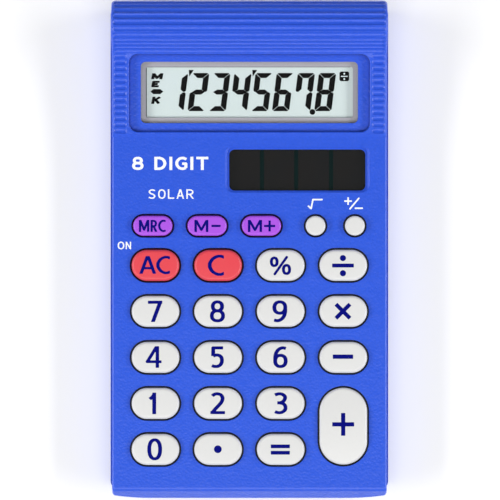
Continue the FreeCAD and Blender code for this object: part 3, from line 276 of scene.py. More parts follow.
@dataclass(frozen=True)
class MouldedPlastic:
    """Injection moulded plastic with the fine matt skin of an eroded mould, and painted shade in its gaps and
    inner corners.
    """

    name: str
    colour: Colour
    roughness: float = 0.45
    gloss: float = 0.5
    pit: float = 0.28
    depth: float = 0.012
    mottle: float = 0.04
    # Reach in millimetres of the painted shade in gaps and corners; 0 leaves it out.
    painted_shade: float = 1.6

    def build(self) -> Material:
        """Make the material.

        Returns:
            The material.
        """
        recipe = Recipe(bpy.data.materials.new(self.name))
        tone = recipe.vary(recipe.noise(0.6), self.colour, 1 - self.mottle, 1 + self.mottle)
        # Painted shade: gaps and inner corners are darkened by ambient occlusion.
        if self.painted_shade > 0:
            tone = recipe.paint_gap_shade(tone, self.painted_shade, self.colour)
        wear = recipe.fade(recipe.noise(2.2, 3.0), self.roughness - 0.04, self.roughness + 0.05)
        skin = recipe.relief(recipe.noise(1.6), self.depth * 0.6)
        pits = recipe.relief(recipe.spots(self.pit), self.depth, skin)
        return recipe.surface(tone, wear, pits, Specular_IOR_Level=self.gloss)


@dataclass(frozen=True)
class PrintedInk:
    """Pad printed ink: an even colour with a faint orange peel."""

    name: str
    colour: Colour
    roughness: float = 0.35

    def build(self) -> Material:
        """Make the material.

        Returns:
            The material.
        """
        recipe = Recipe(bpy.data.materials.new(self.name))
        tone = recipe.vary(recipe.noise(0.7, 3.0), self.colour, 0.93, 1.07)
        wear = recipe.fade(recipe.noise(0.4), self.roughness, self.roughness + 0.08)
        peel = recipe.relief(recipe.noise(0.25), 0.004)
        return recipe.surface(tone, wear, peel, Specular_IOR_Level=0.05)


@dataclass(frozen=True)
class SoftRubber:
    """Moulded rubber or foam with a dusty skin."""

    name: str
    colour: Colour
    roughness: float = 0.75
    grain: float = 0.35
    depth: float = 0.02

    def build(self) -> Material:
        """Make the material.

        Returns:
            The material.
        """
        recipe = Recipe(bpy.data.materials.new(self.name))
        tone = recipe.vary(recipe.noise(3.0, 4.0), self.colour, 0.85, 1.2)
        wear = recipe.fade(recipe.noise(1.1), self.roughness - 0.06, self.roughness + 0.08)
        skin = recipe.relief(recipe.spots(self.grain), self.depth)
        return recipe.surface(
            tone, wear, skin, Sheen_Weight=0.15, Sheen_Roughness=0.5, Specular_IOR_Level=0.3)


@dataclass(frozen=True)
class FloorCard:
    """Plain matt card with a barely visible tooth, lit a little from below."""

    name: str
    colour: Colour
    lit: float = 0.1

    def build(self) -> Material:
        """Make the material.

        Returns:
            The material.
        """
        recipe = Recipe(bpy.data.materials.new(self.name))
        shader = recipe.add(
            "BsdfPrincipled", Roughness=0.9, Specular_IOR_Level=0.1,
            Emission_Color=(1, 1, 1, 1), Emission_Strength=self.lit)
        tooth = recipe.noise(0.8)
        recipe.join(recipe.vary(tooth, self.colour, 0.995, 1.005), shader.inputs["Base Color"])
        recipe.join(recipe.relief(tooth, 0.004), shader.inputs["Normal"])
        return recipe.finish(shader)


@dataclass(frozen=True)
class BrushedMetal:
    """Plated or foil metal, with fine drawn lines along one axis."""

    name: str
    colour: Colour
    roughness: float = 0.3
    line: float = 0.12

    def build(self) -> Material:
        """Make the material.

        Returns:
            The material.
        """
        recipe = Recipe(bpy.data.materials.new(self.name))
        lines = recipe.noise(self.line, 3.0, (1.0, 0.08, 1.0))
        tone = recipe.vary(lines, self.colour, 0.8, 1.1)
        wear = recipe.fade(lines, self.roughness - 0.06, self.roughness + 0.12)
        return recipe.surface(tone, wear, recipe.relief(lines, 0.004), Metallic=1.0)


@dataclass(frozen=True)
class ClearPane:
    """A thin clear moulded window: mostly let through, with a gloss that grows at a slant."""

    name: str
    tint: Colour
    index: float = 1.33
    polish: float = 0.04

    def build(self) -> Material:
        """Make the material.

        Returns:
            The material.
        """
        recipe = Recipe(bpy.data.materials.new(self.name))
        through = recipe.add("BsdfTransparent", Color=(*self.tint, 1))
        gloss = recipe.add("BsdfGlossy", Color=(1, 1, 1, 1))
        polish = recipe.fade(recipe.noise(4.0, 3.0), self.polish, self.polish * 2)
        recipe.join(polish, gloss.inputs["Roughness"])
        recipe.join(recipe.relief(recipe.noise(6.0), 0.006), gloss.inputs["Normal"])
        steep = recipe.add("Math", operation="POWER")
        steep.inputs[1].default_value = 5.0
        recipe.join(recipe.add("LayerWeight", Blend=0.5).outputs["Facing"], steep.inputs[0])
        face_on = ((self.index - 1) / (self.index + 1)) ** 2
        share = recipe.spread(steep.outputs[0], (0.0, 1.0), (face_on, 1.0))
        mix = recipe.add("MixShader")
        for socket, source in zip(mix.inputs, (share, through.outputs[0], gloss.outputs[0])):
            recipe.join(source, socket)
        return recipe.finish(mix)


@dataclass(frozen=True)
class DisplayFilm:
    """The display's grey green field: a polarising film that shows the reflector behind it."""

    name: str
    colour: Colour
    edge: Colour

    def build(self) -> Material:
        """Make the material.

        Returns:
            The material.
        """
        recipe = Recipe(bpy.data.materials.new(self.name))
        tone = recipe.blend(recipe.noise(14.0), self.edge, self.colour)
        grain = recipe.noise(0.12)
        return recipe.surface(
            tone, recipe.fade(grain, 0.42, 0.55), recipe.relief(grain, 0.002),
            Coat_Weight=0.2, Coat_Roughness=0.2, Specular_IOR_Level=0.25)


@dataclass(frozen=True)
class SiliconFilm:
    """Amorphous silicon behind glass: nearly black, drifting between warm brown and cold green."""

    name: str
    warm: Colour
    cold: Colour
    coat: float = 0.3
    gloss: float = 0.2

    def build(self) -> Material:
        """Make the material.

        Returns:
            The material.
        """
        recipe = Recipe(bpy.data.materials.new(self.name))
        drift = recipe.fade(recipe.noise(8.0), 0.0, 1.0)
        lines = recipe.noise(1.2, 1.0, (1.0, 0.1, 1.0))
        return recipe.surface(
            recipe.blend(drift, self.warm, self.cold), recipe.fade(lines, 0.24, 0.27),
            recipe.relief(lines, 0.001),
            Coat_Weight=self.coat, Coat_Roughness=0.08, Specular_IOR_Level=self.gloss)


@dataclass(frozen=True)
class WovenBoard:
    """Circuit board laminate: solder mask over woven glass."""

    name: str
    colour: Colour

    def build(self) -> Material:
        """Make the material.

        Returns:
            The material.
        """
        recipe = Recipe(bpy.data.materials.new(self.name))
        weave = recipe.noise(0.4, 1.0, (1.0, 0.15, 1.0))
        cross = recipe.noise(0.4, 1.0, (0.15, 1.0, 1.0))
        threads = recipe.relief(cross, 0.005, recipe.relief(weave, 0.005))
        return recipe.surface(
            recipe.vary(weave, self.colour, 0.8, 1.25), recipe.fade(cross, 0.4, 0.55), threads,
            Coat_Weight=0.4, Coat_Roughness=0.25)


@dataclass(frozen=True)
class StripedBody:
    """A small part with bands across its length, such as a resistor or a zebra strip."""

    name: str
    colour: Colour
    band: Colour
    pitch: float
    roughness: float = 0.4
    wave_scale: float = 0.314

    def build(self) -> Material:
        """Make the material.

        Returns:
            The material.
        """
        recipe = Recipe(bpy.data.materials.new(self.name))
        wave = recipe.add("TexWave", Scale=self.wave_scale / (self.pitch * MM), bands_direction="X")
        recipe.join(recipe.places["Object"], wave.inputs["Vector"])
        bands = recipe.fade(wave.outputs["Fac"], 0.0, 1.0)
        grain = recipe.noise(0.3)
        wear = recipe.fade(grain, self.roughness, self.roughness + 0.1)
        return recipe.surface(recipe.blend(bands, self.colour, self.band), wear, recipe.relief(grain, 0.006))


@cache
def material(finish: Finish) -> Material:
    """The finish's material, made on first use."""
    return finish.build()


def key_plastic(name: str, colour: Colour, mottle: float = 0.03) -> MouldedPlastic:
    """The keys' plastic, which is smoother than the case's."""
    return MouldedPlastic(name, colour, roughness=0.36, gloss=0.45, pit=0.4, depth=0.006, mottle=mottle)


SLOT_FINISHES: dict[str, Finish] = {
    # The case's and the keys' plastics carry painted shade in gaps and corners; the grey mask has none.
    "case_plastic": MouldedPlastic(
        "case plastic", (0.021, 0.090, 0.66), roughness=0.34, pit=0.5, depth=0.06, mottle=0.12, painted_shade=1.1),
    "white_key": key_plastic("white key", (0.69, 0.69, 0.68), mottle=0.015),
    "red_key": key_plastic("red key", (0.75, 0.064, 0.083)),
    "purple_key": key_plastic("purple key", (0.395, 0.085, 0.73)),
    "foot_rubber": SoftRubber("foot rubber", (0.03, 0.03, 0.032)),
    "screw_steel": BrushedMetal("zinc plated steel", (0.62, 0.62, 0.60), 0.28),
    "clear_window": ClearPane("clear window", (0.99, 0.995, 0.995)),
    "grey_mask": MouldedPlastic(
        "grey mask", (0.44, 0.42, 0.47), roughness=0.5, gloss=0.4, pit=0.3, depth=0.003, mottle=0.02,
        painted_shade=0.0),
    "polariser_film": DisplayFilm("display field", (0.70, 0.785, 0.77), (0.68, 0.765, 0.75)),
    "display_glass": ClearPane("display glass", (0.88, 0.93, 0.9), index=1.5),
    "reflector_film": BrushedMetal("reflector film", (0.75, 0.78, 0.74), 0.4, 0.2),
    "foam": SoftRubber("foam", (0.05, 0.05, 0.05), 0.9, 0.4, 0.08),
    "zebra_rubber": StripedBody("zebra strip", (0.55, 0.5, 0.55), (0.02, 0.02, 0.02), 0.3, 0.6),
    "solar_glass": ClearPane("solar window", (0.90, 0.92, 0.92)),
    "red_insulation": SoftRubber("red insulation", (0.6, 0.03, 0.03), 0.5, 0.5, 0.006),
    "black_insulation": SoftRubber("black insulation", (0.02, 0.02, 0.02), 0.5, 0.5, 0.006),
    "board_laminate": WovenBoard("board laminate", (0.08, 0.22, 0.07)),
    "black_epoxy": SoftRubber("black epoxy", (0.012, 0.012, 0.013), 0.25, 1.2, 0.03),
    "capacitor_sleeve": StripedBody("capacitor sleeve", (0.02, 0.03, 0.09), (0.5, 0.5, 0.52), 9.0, 0.3),
    "diode_glass": StripedBody("diode glass", (0.5, 0.16, 0.05), (0.02, 0.02, 0.02), 3.0, 0.15),
    "resistor_body": StripedBody("resistor body", (0.62, 0.45, 0.28), (0.35, 0.05, 0.03), 0.9),
    "keypad_rubber": SoftRubber("keypad rubber", (0.42, 0.43, 0.42), 0.6, 0.5, 0.01),
    "carbon_rubber": SoftRubber("carbon rubber", (0.015, 0.015, 0.015), 0.55, 0.4, 0.01),
}
LEGEND_INK = PrintedInk("legend ink", (0.0012, 0.0030, 0.170), 0.5)
CASE_INK = PrintedInk("case ink", (0.86, 0.88, 0.92), 0.4)
SEGMENT_INK = PrintedInk("display segment", (0.0008, 0.0008, 0.0010), 0.5)
FIELD_INK = PrintedInk("display field mark", (0.80, 0.90, 0.90), 0.4)
# Dark ink for painted shadow: a strip on the display field where the grey mask's shade falls.
PAINTED_SHADOW_INK = PrintedInk("display edge seal", (0.11, 0.125, 0.125), 0.5)
FLOOR_CARD = FloorCard("floor card", (0.90, 0.90, 0.90))
CELL_FILM = SiliconFilm("solar cell", (0.009, 0.0075, 0.007), (0.0065, 0.0075, 0.0085))
CELL_GAP = SiliconFilm(
    "solar cell gap", (0.0004, 0.0115, 0.0110), (0.0003, 0.0095, 0.0095), coat=0.0, gloss=0.02)


# ---------------------------------------------------------------------------------------------------------
# Glyphs: pen strokes in a box that runs from 0 to 1 both ways
# ---------------------------------------------------------------------------------------------------------

class StrokeKind(Enum):
    """How a stroke runs through its points."""

    LINE = "straight from point to point"
    CURVE = "smoothly through every point"
    LOOP = "a closed oval: its middle, then its two half widths"
    DOT = "a disc that fills the box"


class PenTip(Enum):
    """How a stroke ends."""

    CUT = "square across"
    ROUND = "half a disc"


@dataclass(frozen=True)
class Stroke:
    """One stroke of a glyph."""

    kind: StrokeKind
    points: tuple[Point, ...] = ()


def line(*points: Point) -> Stroke:
    """A stroke of straight runs."""
    return Stroke(StrokeKind.LINE, points)


def curve(*points: Point) -> Stroke:
    """A smooth open stroke."""
    return Stroke(StrokeKind.CURVE, points)


def loop(middle: Point, half: Point) -> Stroke:
    """An oval stroke."""
    return Stroke(StrokeKind.LOOP, (middle, half))


def turned(strokes: Sequence[Stroke]) -> tuple[Stroke, ...]:
    """A glyph turned half round, as a six is to make a nine.

    Args:
        strokes: The glyph's strokes.

    Returns:
        The turned strokes.
    """
    result = []
    for stroke in strokes:
        places = 1 if stroke.kind is StrokeKind.LOOP else len(stroke.points)
        points = tuple((1 - across, 1 - up) for across, up in stroke.points[:places])
        result.append(Stroke(stroke.kind, points + stroke.points[places:]))
    return tuple(result)


LEFT_STEM = line((0, -0.2), (0, 1.2))
RIGHT_STEM = line((1, -0.2), (1, 1.2))
SIX = (
    curve((1.02, 0.965), (0.68, 0.995), (0.34, 0.912), (0.10, 0.73), (0.0, 0.483), (0.012, 0.29)),
    loop((0.5, 0.298), (0.5, 0.298)),
)
GLYPHS: dict[str, tuple[Stroke, ...]] = {
    "0": (loop((0.5, 0.5), (0.5, 0.5)),),
    "1": (RIGHT_STEM, curve((1.0, 0.98), (0.55, 0.84), (-0.12, 0.735))),
    "2": (
        curve(
            (0.0, 0.885), (0.18, 0.968), (0.45, 1.0), (0.758, 0.955), (0.933, 0.827), (0.944, 0.69),
            (0.816, 0.535), (0.55, 0.354), (0.224, 0.16), (0.02, 0.0)),
        line((-0.2, 0), (1.2, 0)),
    ),
    "3": (
        curve(
            (-0.02, 0.94), (0.328, 1.0), (0.669, 0.979), (0.922, 0.877), (0.945, 0.74), (0.78, 0.6),
            (0.498, 0.524)),
        curve(
            (0.498, 0.524), (0.82, 0.465), (0.998, 0.321), (0.96, 0.159), (0.706, 0.038),
            (0.347, 0.0), (-0.03, 0.055)),
        line((0.2, 0.524), (0.5, 0.524)),
    ),
    "4": (line((0.803, -0.2), (0.803, 1.2)), line((0.83, 1.14), (0.0, 0.25), (1.2, 0.25))),
    "5": (
        line((1.13, 1.0), (0.05, 1.0), (0.035, 0.56)),
        curve(
            (0.035, 0.56), (0.341, 0.611), (0.68, 0.596), (0.94, 0.487), (1.0, 0.302), (0.892, 0.128),
            (0.595, 0.015), (0.214, 0.0), (-0.10, 0.05)),
    ),
    "6": SIX,
    "7": (line((-0.2, 1), (1.2, 1)), line((1.0, 1.03), (0.25, -0.13))),
    "8": (loop((0.5, 0.764), (0.413, 0.236)), loop((0.5, 0.264), (0.5, 0.264))),
    "9": turned(SIX),
    "A": (
        line((-0.056, -0.2), (0.531, 1.2)),
        line((1.056, -0.2), (0.469, 1.2)),
        line((0.16, 0.29), (0.84, 0.29)),
    ),
    "C": (curve(
        (1.2, 0.93), (0.904, 1.0), (0.589, 0.982), (0.242, 0.852), (0.026, 0.636), (0.0, 0.5),
        (0.026, 0.364), (0.242, 0.148), (0.589, 0.018), (0.904, 0.0), (1.2, 0.07)),),
    "D": (LEFT_STEM, curve(
        (0, 1), (0.4, 1), (0.8, 0.86), (1, 0.5), (0.8, 0.14), (0.4, 0), (0, 0))),
    "E": (line((1.3, 1), (0, 1), (0, 0), (1.3, 0)), line((0, 0.5), (1.0, 0.5))),
    "G": (
        curve(
            (1.06, 0.88), (0.70, 1.0), (0.30, 0.93), (0.05, 0.70), (0, 0.5), (0.05, 0.30),
            (0.30, 0.07), (0.65, 0.0), (1.0, 0.08)),
        line((0.58, 0.47), (1.0, 0.47), (1.0, 0.08)),
    ),
    "I": (line((0.5, -0.2), (0.5, 1.2)),),
    "K": (LEFT_STEM, line((1.08, 1.12), (0.08, 0.45)), line((0.36, 0.62), (1.08, -0.12))),
    "L": (line((0, 1.2), (0, 0), (1.2, 0)),),
    "M": (LEFT_STEM, RIGHT_STEM, line((0.0, 1.12), (0.5, 0.10), (1.0, 1.12))),
    "N": (LEFT_STEM, RIGHT_STEM, line((-0.03, 1.08), (1.03, -0.08))),
    "O": (loop((0.5, 0.5), (0.5, 0.5)),),
    "R": (
        LEFT_STEM,
        curve((0, 1), (0.45, 1), (0.80, 0.93), (0.94, 0.745), (0.82, 0.55), (0.45, 0.47), (0, 0.46)),
        line((0.42, 0.5), (1.06, -0.14)),
    ),
    "S": (curve(
        (1.0, 0.90), (0.6, 1.0), (0.2, 0.94), (0.06, 0.76), (0.25, 0.58), (0.7, 0.45), (0.94, 0.26),
        (0.78, 0.06), (0.4, 0.0), (-0.02, 0.11)),),
    "T": (line((-0.2, 1), (1.2, 1)), line((0.5, 1), (0.5, -0.2))),
    "bar": (line((-0.5, 0.5), (1.5, 0.5)),),
    "cross": (line((-0.5, 0.5), (1.5, 0.5)), line((0.5, -0.5), (0.5, 1.5))),
    "times": (line((-0.035, -0.035), (1.035, 1.035)), line((-0.035, 1.035), (1.035, -0.035))),
    "slash": (line((0, 0), (1, 1)),),
    "ring": (loop((0.5, 0.5), (0.5, 0.5)),),
    "disc": (Stroke(StrokeKind.DOT),),
    "root": (line((0.0, 0.10), (0.20, -0.22), (0.33, 1.0), (1.0, 1.0)),),
}


@dataclass(frozen=True)
class Mark:
    """A glyph in its outer box, drawn with a pen of a given width across and up, all in millimetres."""

    glyph: str
    box: Box
    pen: Pen = (1.2, 1.2)
    tip: PenTip = PenTip.CUT

    def nib(self, place: Point) -> Point:
        """Find where the pen's middle goes for a point of the glyph's own box.

        Args:
            place: The point, from 0 to 1 both ways inside the box.

        Returns:
            The place of the pen's middle.
        """
        left, low, right, high = self.box
        across, up = self.pen
        return (
            left + across / 2 + place[0] * (right - left - across),
            low + up / 2 + place[1] * (high - low - up))

    def distances(self, grid: Grid) -> np.ndarray:
        """How far grid points are outside the ink, below zero inside it.

        Args:
            grid: Their places across and up.

        Returns:
            The distances.
        """
        left, low, right, high = self.box
        result = np.minimum.reduce([self.stroke_distances(stroke, grid) for stroke in GLYPHS[self.glyph]])
        if self.tip is PenTip.ROUND:
            return result
        return np.maximum.reduce([result, left - grid[0], grid[0] - right, low - grid[1], grid[1] - high])

    def stroke_distances(self, stroke: Stroke, grid: Grid) -> np.ndarray:
        """One stroke's distances, with the pen squeezed until it is round.

        Args:
            stroke: The stroke.
            grid: The grid points' places across and up.

        Returns:
            The distances.
        """
        if stroke.kind is StrokeKind.DOT:
            left, low, right, high = self.box
            return np.hypot(grid[0] - (left + right) / 2, grid[1] - (low + high) / 2) - (right - left) / 2
        path = [self.nib(point) for point in stroke.points]
        if stroke.kind is StrokeKind.LOOP:
            (across, up), (half_across, half_up) = stroke.points
            edge = self.nib((across + half_across, up + half_up))
            path = oval(path[0], (edge[0] - path[0][0], edge[1] - path[0][1]))
        elif stroke.kind is StrokeKind.CURVE:
            path = smooth(path)
        squeeze = self.pen[1] / self.pen[0]
        path = [(across * squeeze, up) for across, up in path]
        squeezed = (grid[0] * squeeze, grid[1])
        runs = [run_distances(squeezed, start, end) for start, end in zip(path, path[1:])]
        result = np.minimum.reduce(runs) - self.pen[1] / 2
        if stroke.kind is not StrokeKind.LOOP and self.tip is PenTip.CUT:
            for end, before in ((path[0], path[1]), (path[-1], path[-2])):
                result = np.maximum(result, -block_distances(squeezed, end, before, self.pen[1]))
        return result


def oval(middle: Point, half: Point) -> list[Point]:
    """A closed oval, a little squarer than an ellipse.

    Args:
        middle: Its middle.
        half: Its half widths.

    Returns:
        Its points, the first repeated at the end.
    """
    fullness = 2 / 2.25
    points = []
    for turn in np.linspace(0, 2 * math.pi, 65):
        side, rise = math.cos(turn), math.sin(turn)
        points.append((
            middle[0] + half[0] * math.copysign(abs(side) ** fullness, side),
            middle[1] + half[1] * math.copysign(abs(rise) ** fullness, rise),
        ))
    return points


def smooth(points: Sequence[Point]) -> list[Point]:
    """A smooth curve through every point.

    Args:
        points: The points.

    Returns:
        Close points along the curve.
    """
    steps = 7
    knots = np.array(points, float)
    padded = np.vstack([2 * knots[0] - knots[1], knots, 2 * knots[-1] - knots[-2]])
    result: list[Point] = []
    for index in range(len(knots) - 1):
        before, start, end, after = padded[index:index + 4]
        for share in np.linspace(0, 1, steps, endpoint=False):
            place = 0.5 * (
                2 * start + (end - before) * share
                + (2 * before - 5 * start + 4 * end - after) * share ** 2
                + (3 * start - before - 3 * end + after) * share ** 3)
            result.append((float(place[0]), float(place[1])))
    result.append(tuple(knots[-1]))
    return result


def run_distances(grid: Grid, start: Point, end: Point) -> np.ndarray:
    """Distances of grid points from a straight run.

    Args:
        grid: Their places across and up.
        start: The run's start.
        end: The run's end.

    Returns:
        The distances.
    """
    run_x, run_y = end[0] - start[0], end[1] - start[1]
    length = max(run_x ** 2 + run_y ** 2, 1e-12)
    share = np.clip(((grid[0] - start[0]) * run_x + (grid[1] - start[1]) * run_y) / length, 0, 1)
    return np.hypot(grid[0] - start[0] - share * run_x, grid[1] - start[1] - share * run_y)


def block_distances(grid: Grid, end: Point, before: Point, reach: float) -> np.ndarray:
    """Distances of grid points from a small block just past a stroke's end, which cuts the end square.

    Args:
        grid: Their places across and up.
        end: The stroke's last point.
        before: The point before it.
        reach: The block's length and half its width.

    Returns:
        The distances, below zero inside the block.
    """
    run_x, run_y = end[0] - before[0], end[1] - before[1]
    length = max(math.hypot(run_x, run_y), 1e-9)
    run_x, run_y = run_x / length, run_y / length
    along = (grid[0] - end[0]) * run_x + (grid[1] - end[1]) * run_y
    aside = np.abs((grid[1] - end[1]) * run_x - (grid[0] - end[0]) * run_y)
    return np.maximum.reduce([-along, along - reach, aside - reach])


# ---------------------------------------------------------------------------------------------------------
# Thin slabs of ink, film and cell, laid on the surface under them
# ---------------------------------------------------------------------------------------------------------

class Bed(Protocol):
    """A surface that slabs are laid on."""

    def place(self, across: float, up: float, rise: float) -> Vector:
        """The point above a place of the surface, in metres."""
        ...


@dataclass(frozen=True)
class FlatBed:
    """A flat surface, given by an origin and two directions along it; slant leans everything drawn on it."""

    origin: Vector
    across: Vector
    up: Vector
    slant: float = 0.0

    def place(self, across: float, up: float, rise: float) -> Vector:
        """The point above a place of the surface.

        Args:
            across: Millimetres along the first direction.
            up: Millimetres along the second direction.
            rise: Millimetres above the surface.

        Returns:
            The point, in metres.
        """
        normal = self.across.cross(self.up)
        leaned = across + self.slant * up
        return self.origin + (leaned * self.across + up * self.up + rise * normal) * MM


def level_bed(height: float) -> FlatBed:
    """The bed on a level plane at a height in millimetres, its origin on the frame's upright axis."""
    return FlatBed(Vector((0, 0, height * MM)), Vector((1, 0, 0)), Vector((0, 1, 0)))


@dataclass(frozen=True)
class CrownBed:
    """A key's crown: a shallow dome whose top is at a given point."""

    top: Vector
    radius: float = 60.0

    def place(self, across: float, up: float, rise: float) -> Vector:
        """The point above a place of the crown.

        Args:
            across: Millimetres to the right of the dome's middle.
            up: Millimetres from the dome's middle towards the crest.
            rise: Millimetres above the dome.

        Returns:
            The point, in metres.
        """
        fall = self.radius - math.sqrt(self.radius ** 2 - across ** 2 - up ** 2)
        return self.top + Vector((across, up, rise - fall)) * MM


class Slab:
    """A closed mesh of thin layers on a bed."""

    def __init__(self, bed: Bed, rise: float, sink: float = 0.0) -> None:
        """Start an empty slab.

        Args:
            bed: What it lies on.
            rise: Millimetres from the bed to the slab's top.
            sink: Millimetres from the bed down to the slab's underside.
        """
        self.bed = bed
        self.rise = rise
        self.sink = sink
        self.points: list[Vector] = []
        self.faces: list[tuple[int, ...]] = []

    def pair(self, across: float, up: float) -> int:
        """Add a place's top and bottom points; the bottom's number is one more than the top's."""
        self.points.append(self.bed.place(float(across), float(up), self.rise))
        self.points.append(self.bed.place(float(across), float(up), -self.sink))
        return len(self.points) - 2

    def cover(self, outline: Sequence[int]) -> None:
        """Add a face on top and its match underneath."""
        self.faces.append(tuple(outline))
        self.faces.append(tuple(number + 1 for number in reversed(outline)))

    def wall(self, start: int, end: int) -> None:
        """Add the wall under one edge of the top, which runs with the ink on its left."""
        self.faces.append((end, start, start + 1, end + 1))

    def prism(self, outline: Sequence[Point]) -> None:
        """Add a polygon with straight walls.

        Args:
            outline: Its corners, anticlockwise.
        """
        numbers = [self.pair(across, up) for across, up in outline]
        self.cover(numbers)
        for start, end in zip(numbers, numbers[1:] + numbers[:1]):
            self.wall(start, end)

    def ink(self, marks: Sequence[Mark], cell: float) -> None:
        """Add marks, following the edge of their joined strokes.

        Args:
            marks: The marks.
            cell: Grid spacing, in millimetres.
        """
        margin = 4 * cell + max(max(mark.pen) for mark in marks)
        left = min(mark.box[0] for mark in marks) - margin
        low = min(mark.box[1] for mark in marks) - margin
        right = max(mark.box[2] for mark in marks) + margin
        high = max(mark.box[3] for mark in marks) + margin
        places_x = np.arange(left, right + cell, cell)
        places_y = np.arange(low, high + cell, cell)
        grid = tuple(np.meshgrid(places_x, places_y))
        self.trace(np.minimum.reduce([mark.distances(grid) for mark in marks]), places_x, places_y)

    def trace(self, distances: np.ndarray, places_x: np.ndarray, places_y: np.ndarray) -> None:
        """Cover every grid cell's inked share and wall its edge.

        Args:
            distances: How far grid points are outside the ink, below zero inside it.
            places_x: The grid's columns.
            places_y: The grid's rows.
        """
        known: dict[tuple[int, ...], int] = {}

        def corner(row: int, column: int) -> int:
            """The pair at a grid point."""
            key = (row, column)
            if key not in known:
                known[key] = self.pair(places_x[column], places_y[row])
            return known[key]

        def crossing(first: tuple[int, int], second: tuple[int, int]) -> int:
            """Find the pair where the ink's edge crosses between two grid points.

            Args:
                first: Row and column of the one point.
                second: Row and column of the other.

            Returns:
                The pair's number.
            """
            (row, column), (other_row, other_column) = sorted((first, second))
            key = (row, column, other_row, other_column)
            if key not in known:
                here, there = distances[row, column], distances[other_row, other_column]
                share = float(np.clip(here / (here - there), 0.03, 0.97))
                known[key] = self.pair(
                    places_x[column] + share * (places_x[other_column] - places_x[column]),
                    places_y[row] + share * (places_y[other_row] - places_y[row]))
            return known[key]

        inside = distances < 0
        touched = inside[:-1, :-1] | inside[:-1, 1:] | inside[1:, :-1] | inside[1:, 1:]
        for row, column in np.argwhere(touched):
            around = [(row, column), (row, column + 1), (row + 1, column + 1), (row + 1, column)]
            outline: list[int] = []
            edges: list[tuple[int, int]] = []
            for here, there in zip(around, around[1:] + around[:1]):
                if inside[here]:
                    outline.append(corner(*here))
                if inside[here] != inside[there]:
                    outline.append(crossing(here, there))
                    if inside[here]:
                        edges.append((len(outline) - 1, len(outline)))
            self.cover(outline)
            for start, end in edges:
                self.wall(outline[start], outline[end % len(outline)])

    def build(self, name: str, finish: Finish, body: str) -> Piece:
        """Make the piece and let it ride on a body.

        Args:
            name: The piece's name.
            finish: Its finish.
            body: The CAD body that carries it.

        Returns:
            The piece.
        """
        piece = new_piece(name, self.points, self.faces, finish)
        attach(piece, body)
        return piece


def new_piece(
    name: str, points: Sequence[Sequence[float]], faces: Sequence[Sequence[int]], finish: Finish
) -> Piece:
    """Make a mesh piece with one finish.

    Args:
        name: The piece's name.
        points: Its points, in metres.
        faces: Its faces, each as its points' numbers.
        finish: Its finish.

    Returns:
        The piece.
    """
    mesh = bpy.data.meshes.new(name)
    mesh.from_pydata([tuple(point) for point in points], [], faces)
    mesh.validate()
    mesh.update()
    mesh.materials.append(material(finish))
    piece = bpy.data.objects.new(name, mesh)
    bpy.context.scene.collection.objects.link(piece)
    return piece


def turned_piece(name: str, profile: Sequence[Point], centre: Point, finish: Finish) -> Piece:
    """A closed solid turned about an upright axis.

    Args:
        name: The piece's name.
        profile: Radius and height of each corner, from the axis underneath to the axis on top.
        centre: The axis's place.
        finish: Its finish.

    Returns:
        The piece.
    """
    sides = 32
    turns = np.linspace(0, 2 * math.pi, sides, endpoint=False)
    points = [(*centre, profile[0][1])]
    for radius, height in profile[1:-1]:
        points += [
            (centre[0] + radius * math.cos(turn), centre[1] + radius * math.sin(turn), height)
            for turn in turns]
    points.append((*centre, profile[-1][1]))
    rings = len(profile) - 2
    faces: list[tuple[int, ...]] = []
    for side in range(sides):
        following = (side + 1) % sides
        faces.append((0, 1 + following, 1 + side))
        for ring in range(rings - 1):
            start = 1 + ring * sides
            faces.append((start + side, start + following, start + sides + following, start + sides + side))
        last = 1 + (rings - 1) * sides
        faces.append((last + side, last + following, len(points) - 1))
    return new_piece(name, [Vector(point) * MM for point in points], faces, finish)


def top_bed(node: Piece, slant: float = 0.0) -> FlatBed:
    """The bed on a flat node's uppermost face, its origin at the face's middle.

    Args:
        node: The CAD node.
        slant: Lean of what is drawn on the bed.

    Returns:
        The bed.
    """
    same_way = 0.999
    highest = max(node.data.polygons, key=lambda face: face.normal.z * face.area)
    normal = highest.normal.normalized()
    faces = [face for face in node.data.polygons if face.normal.dot(normal) > same_way]
    corners = [node.data.vertices[number].co for face in faces for number in face.vertices]
    low, high = (
        Vector([pick(corner[axis] for corner in corners) for axis in range(3)]) for pick in (min, max))
    across = Vector((1, 0, 0))
    return FlatBed((low + high) / 2, across, normal.cross(across), slant)


def middle_of(node_name: str) -> Vector:
    """The middle of a CAD node's box."""
    low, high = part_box(node_name)
    return (low + high) / 2


# ---------------------------------------------------------------------------------------------------------
# Sub-assemblies
# ---------------------------------------------------------------------------------------------------------

THIN_PEN: Pen = (0.38, 0.38)


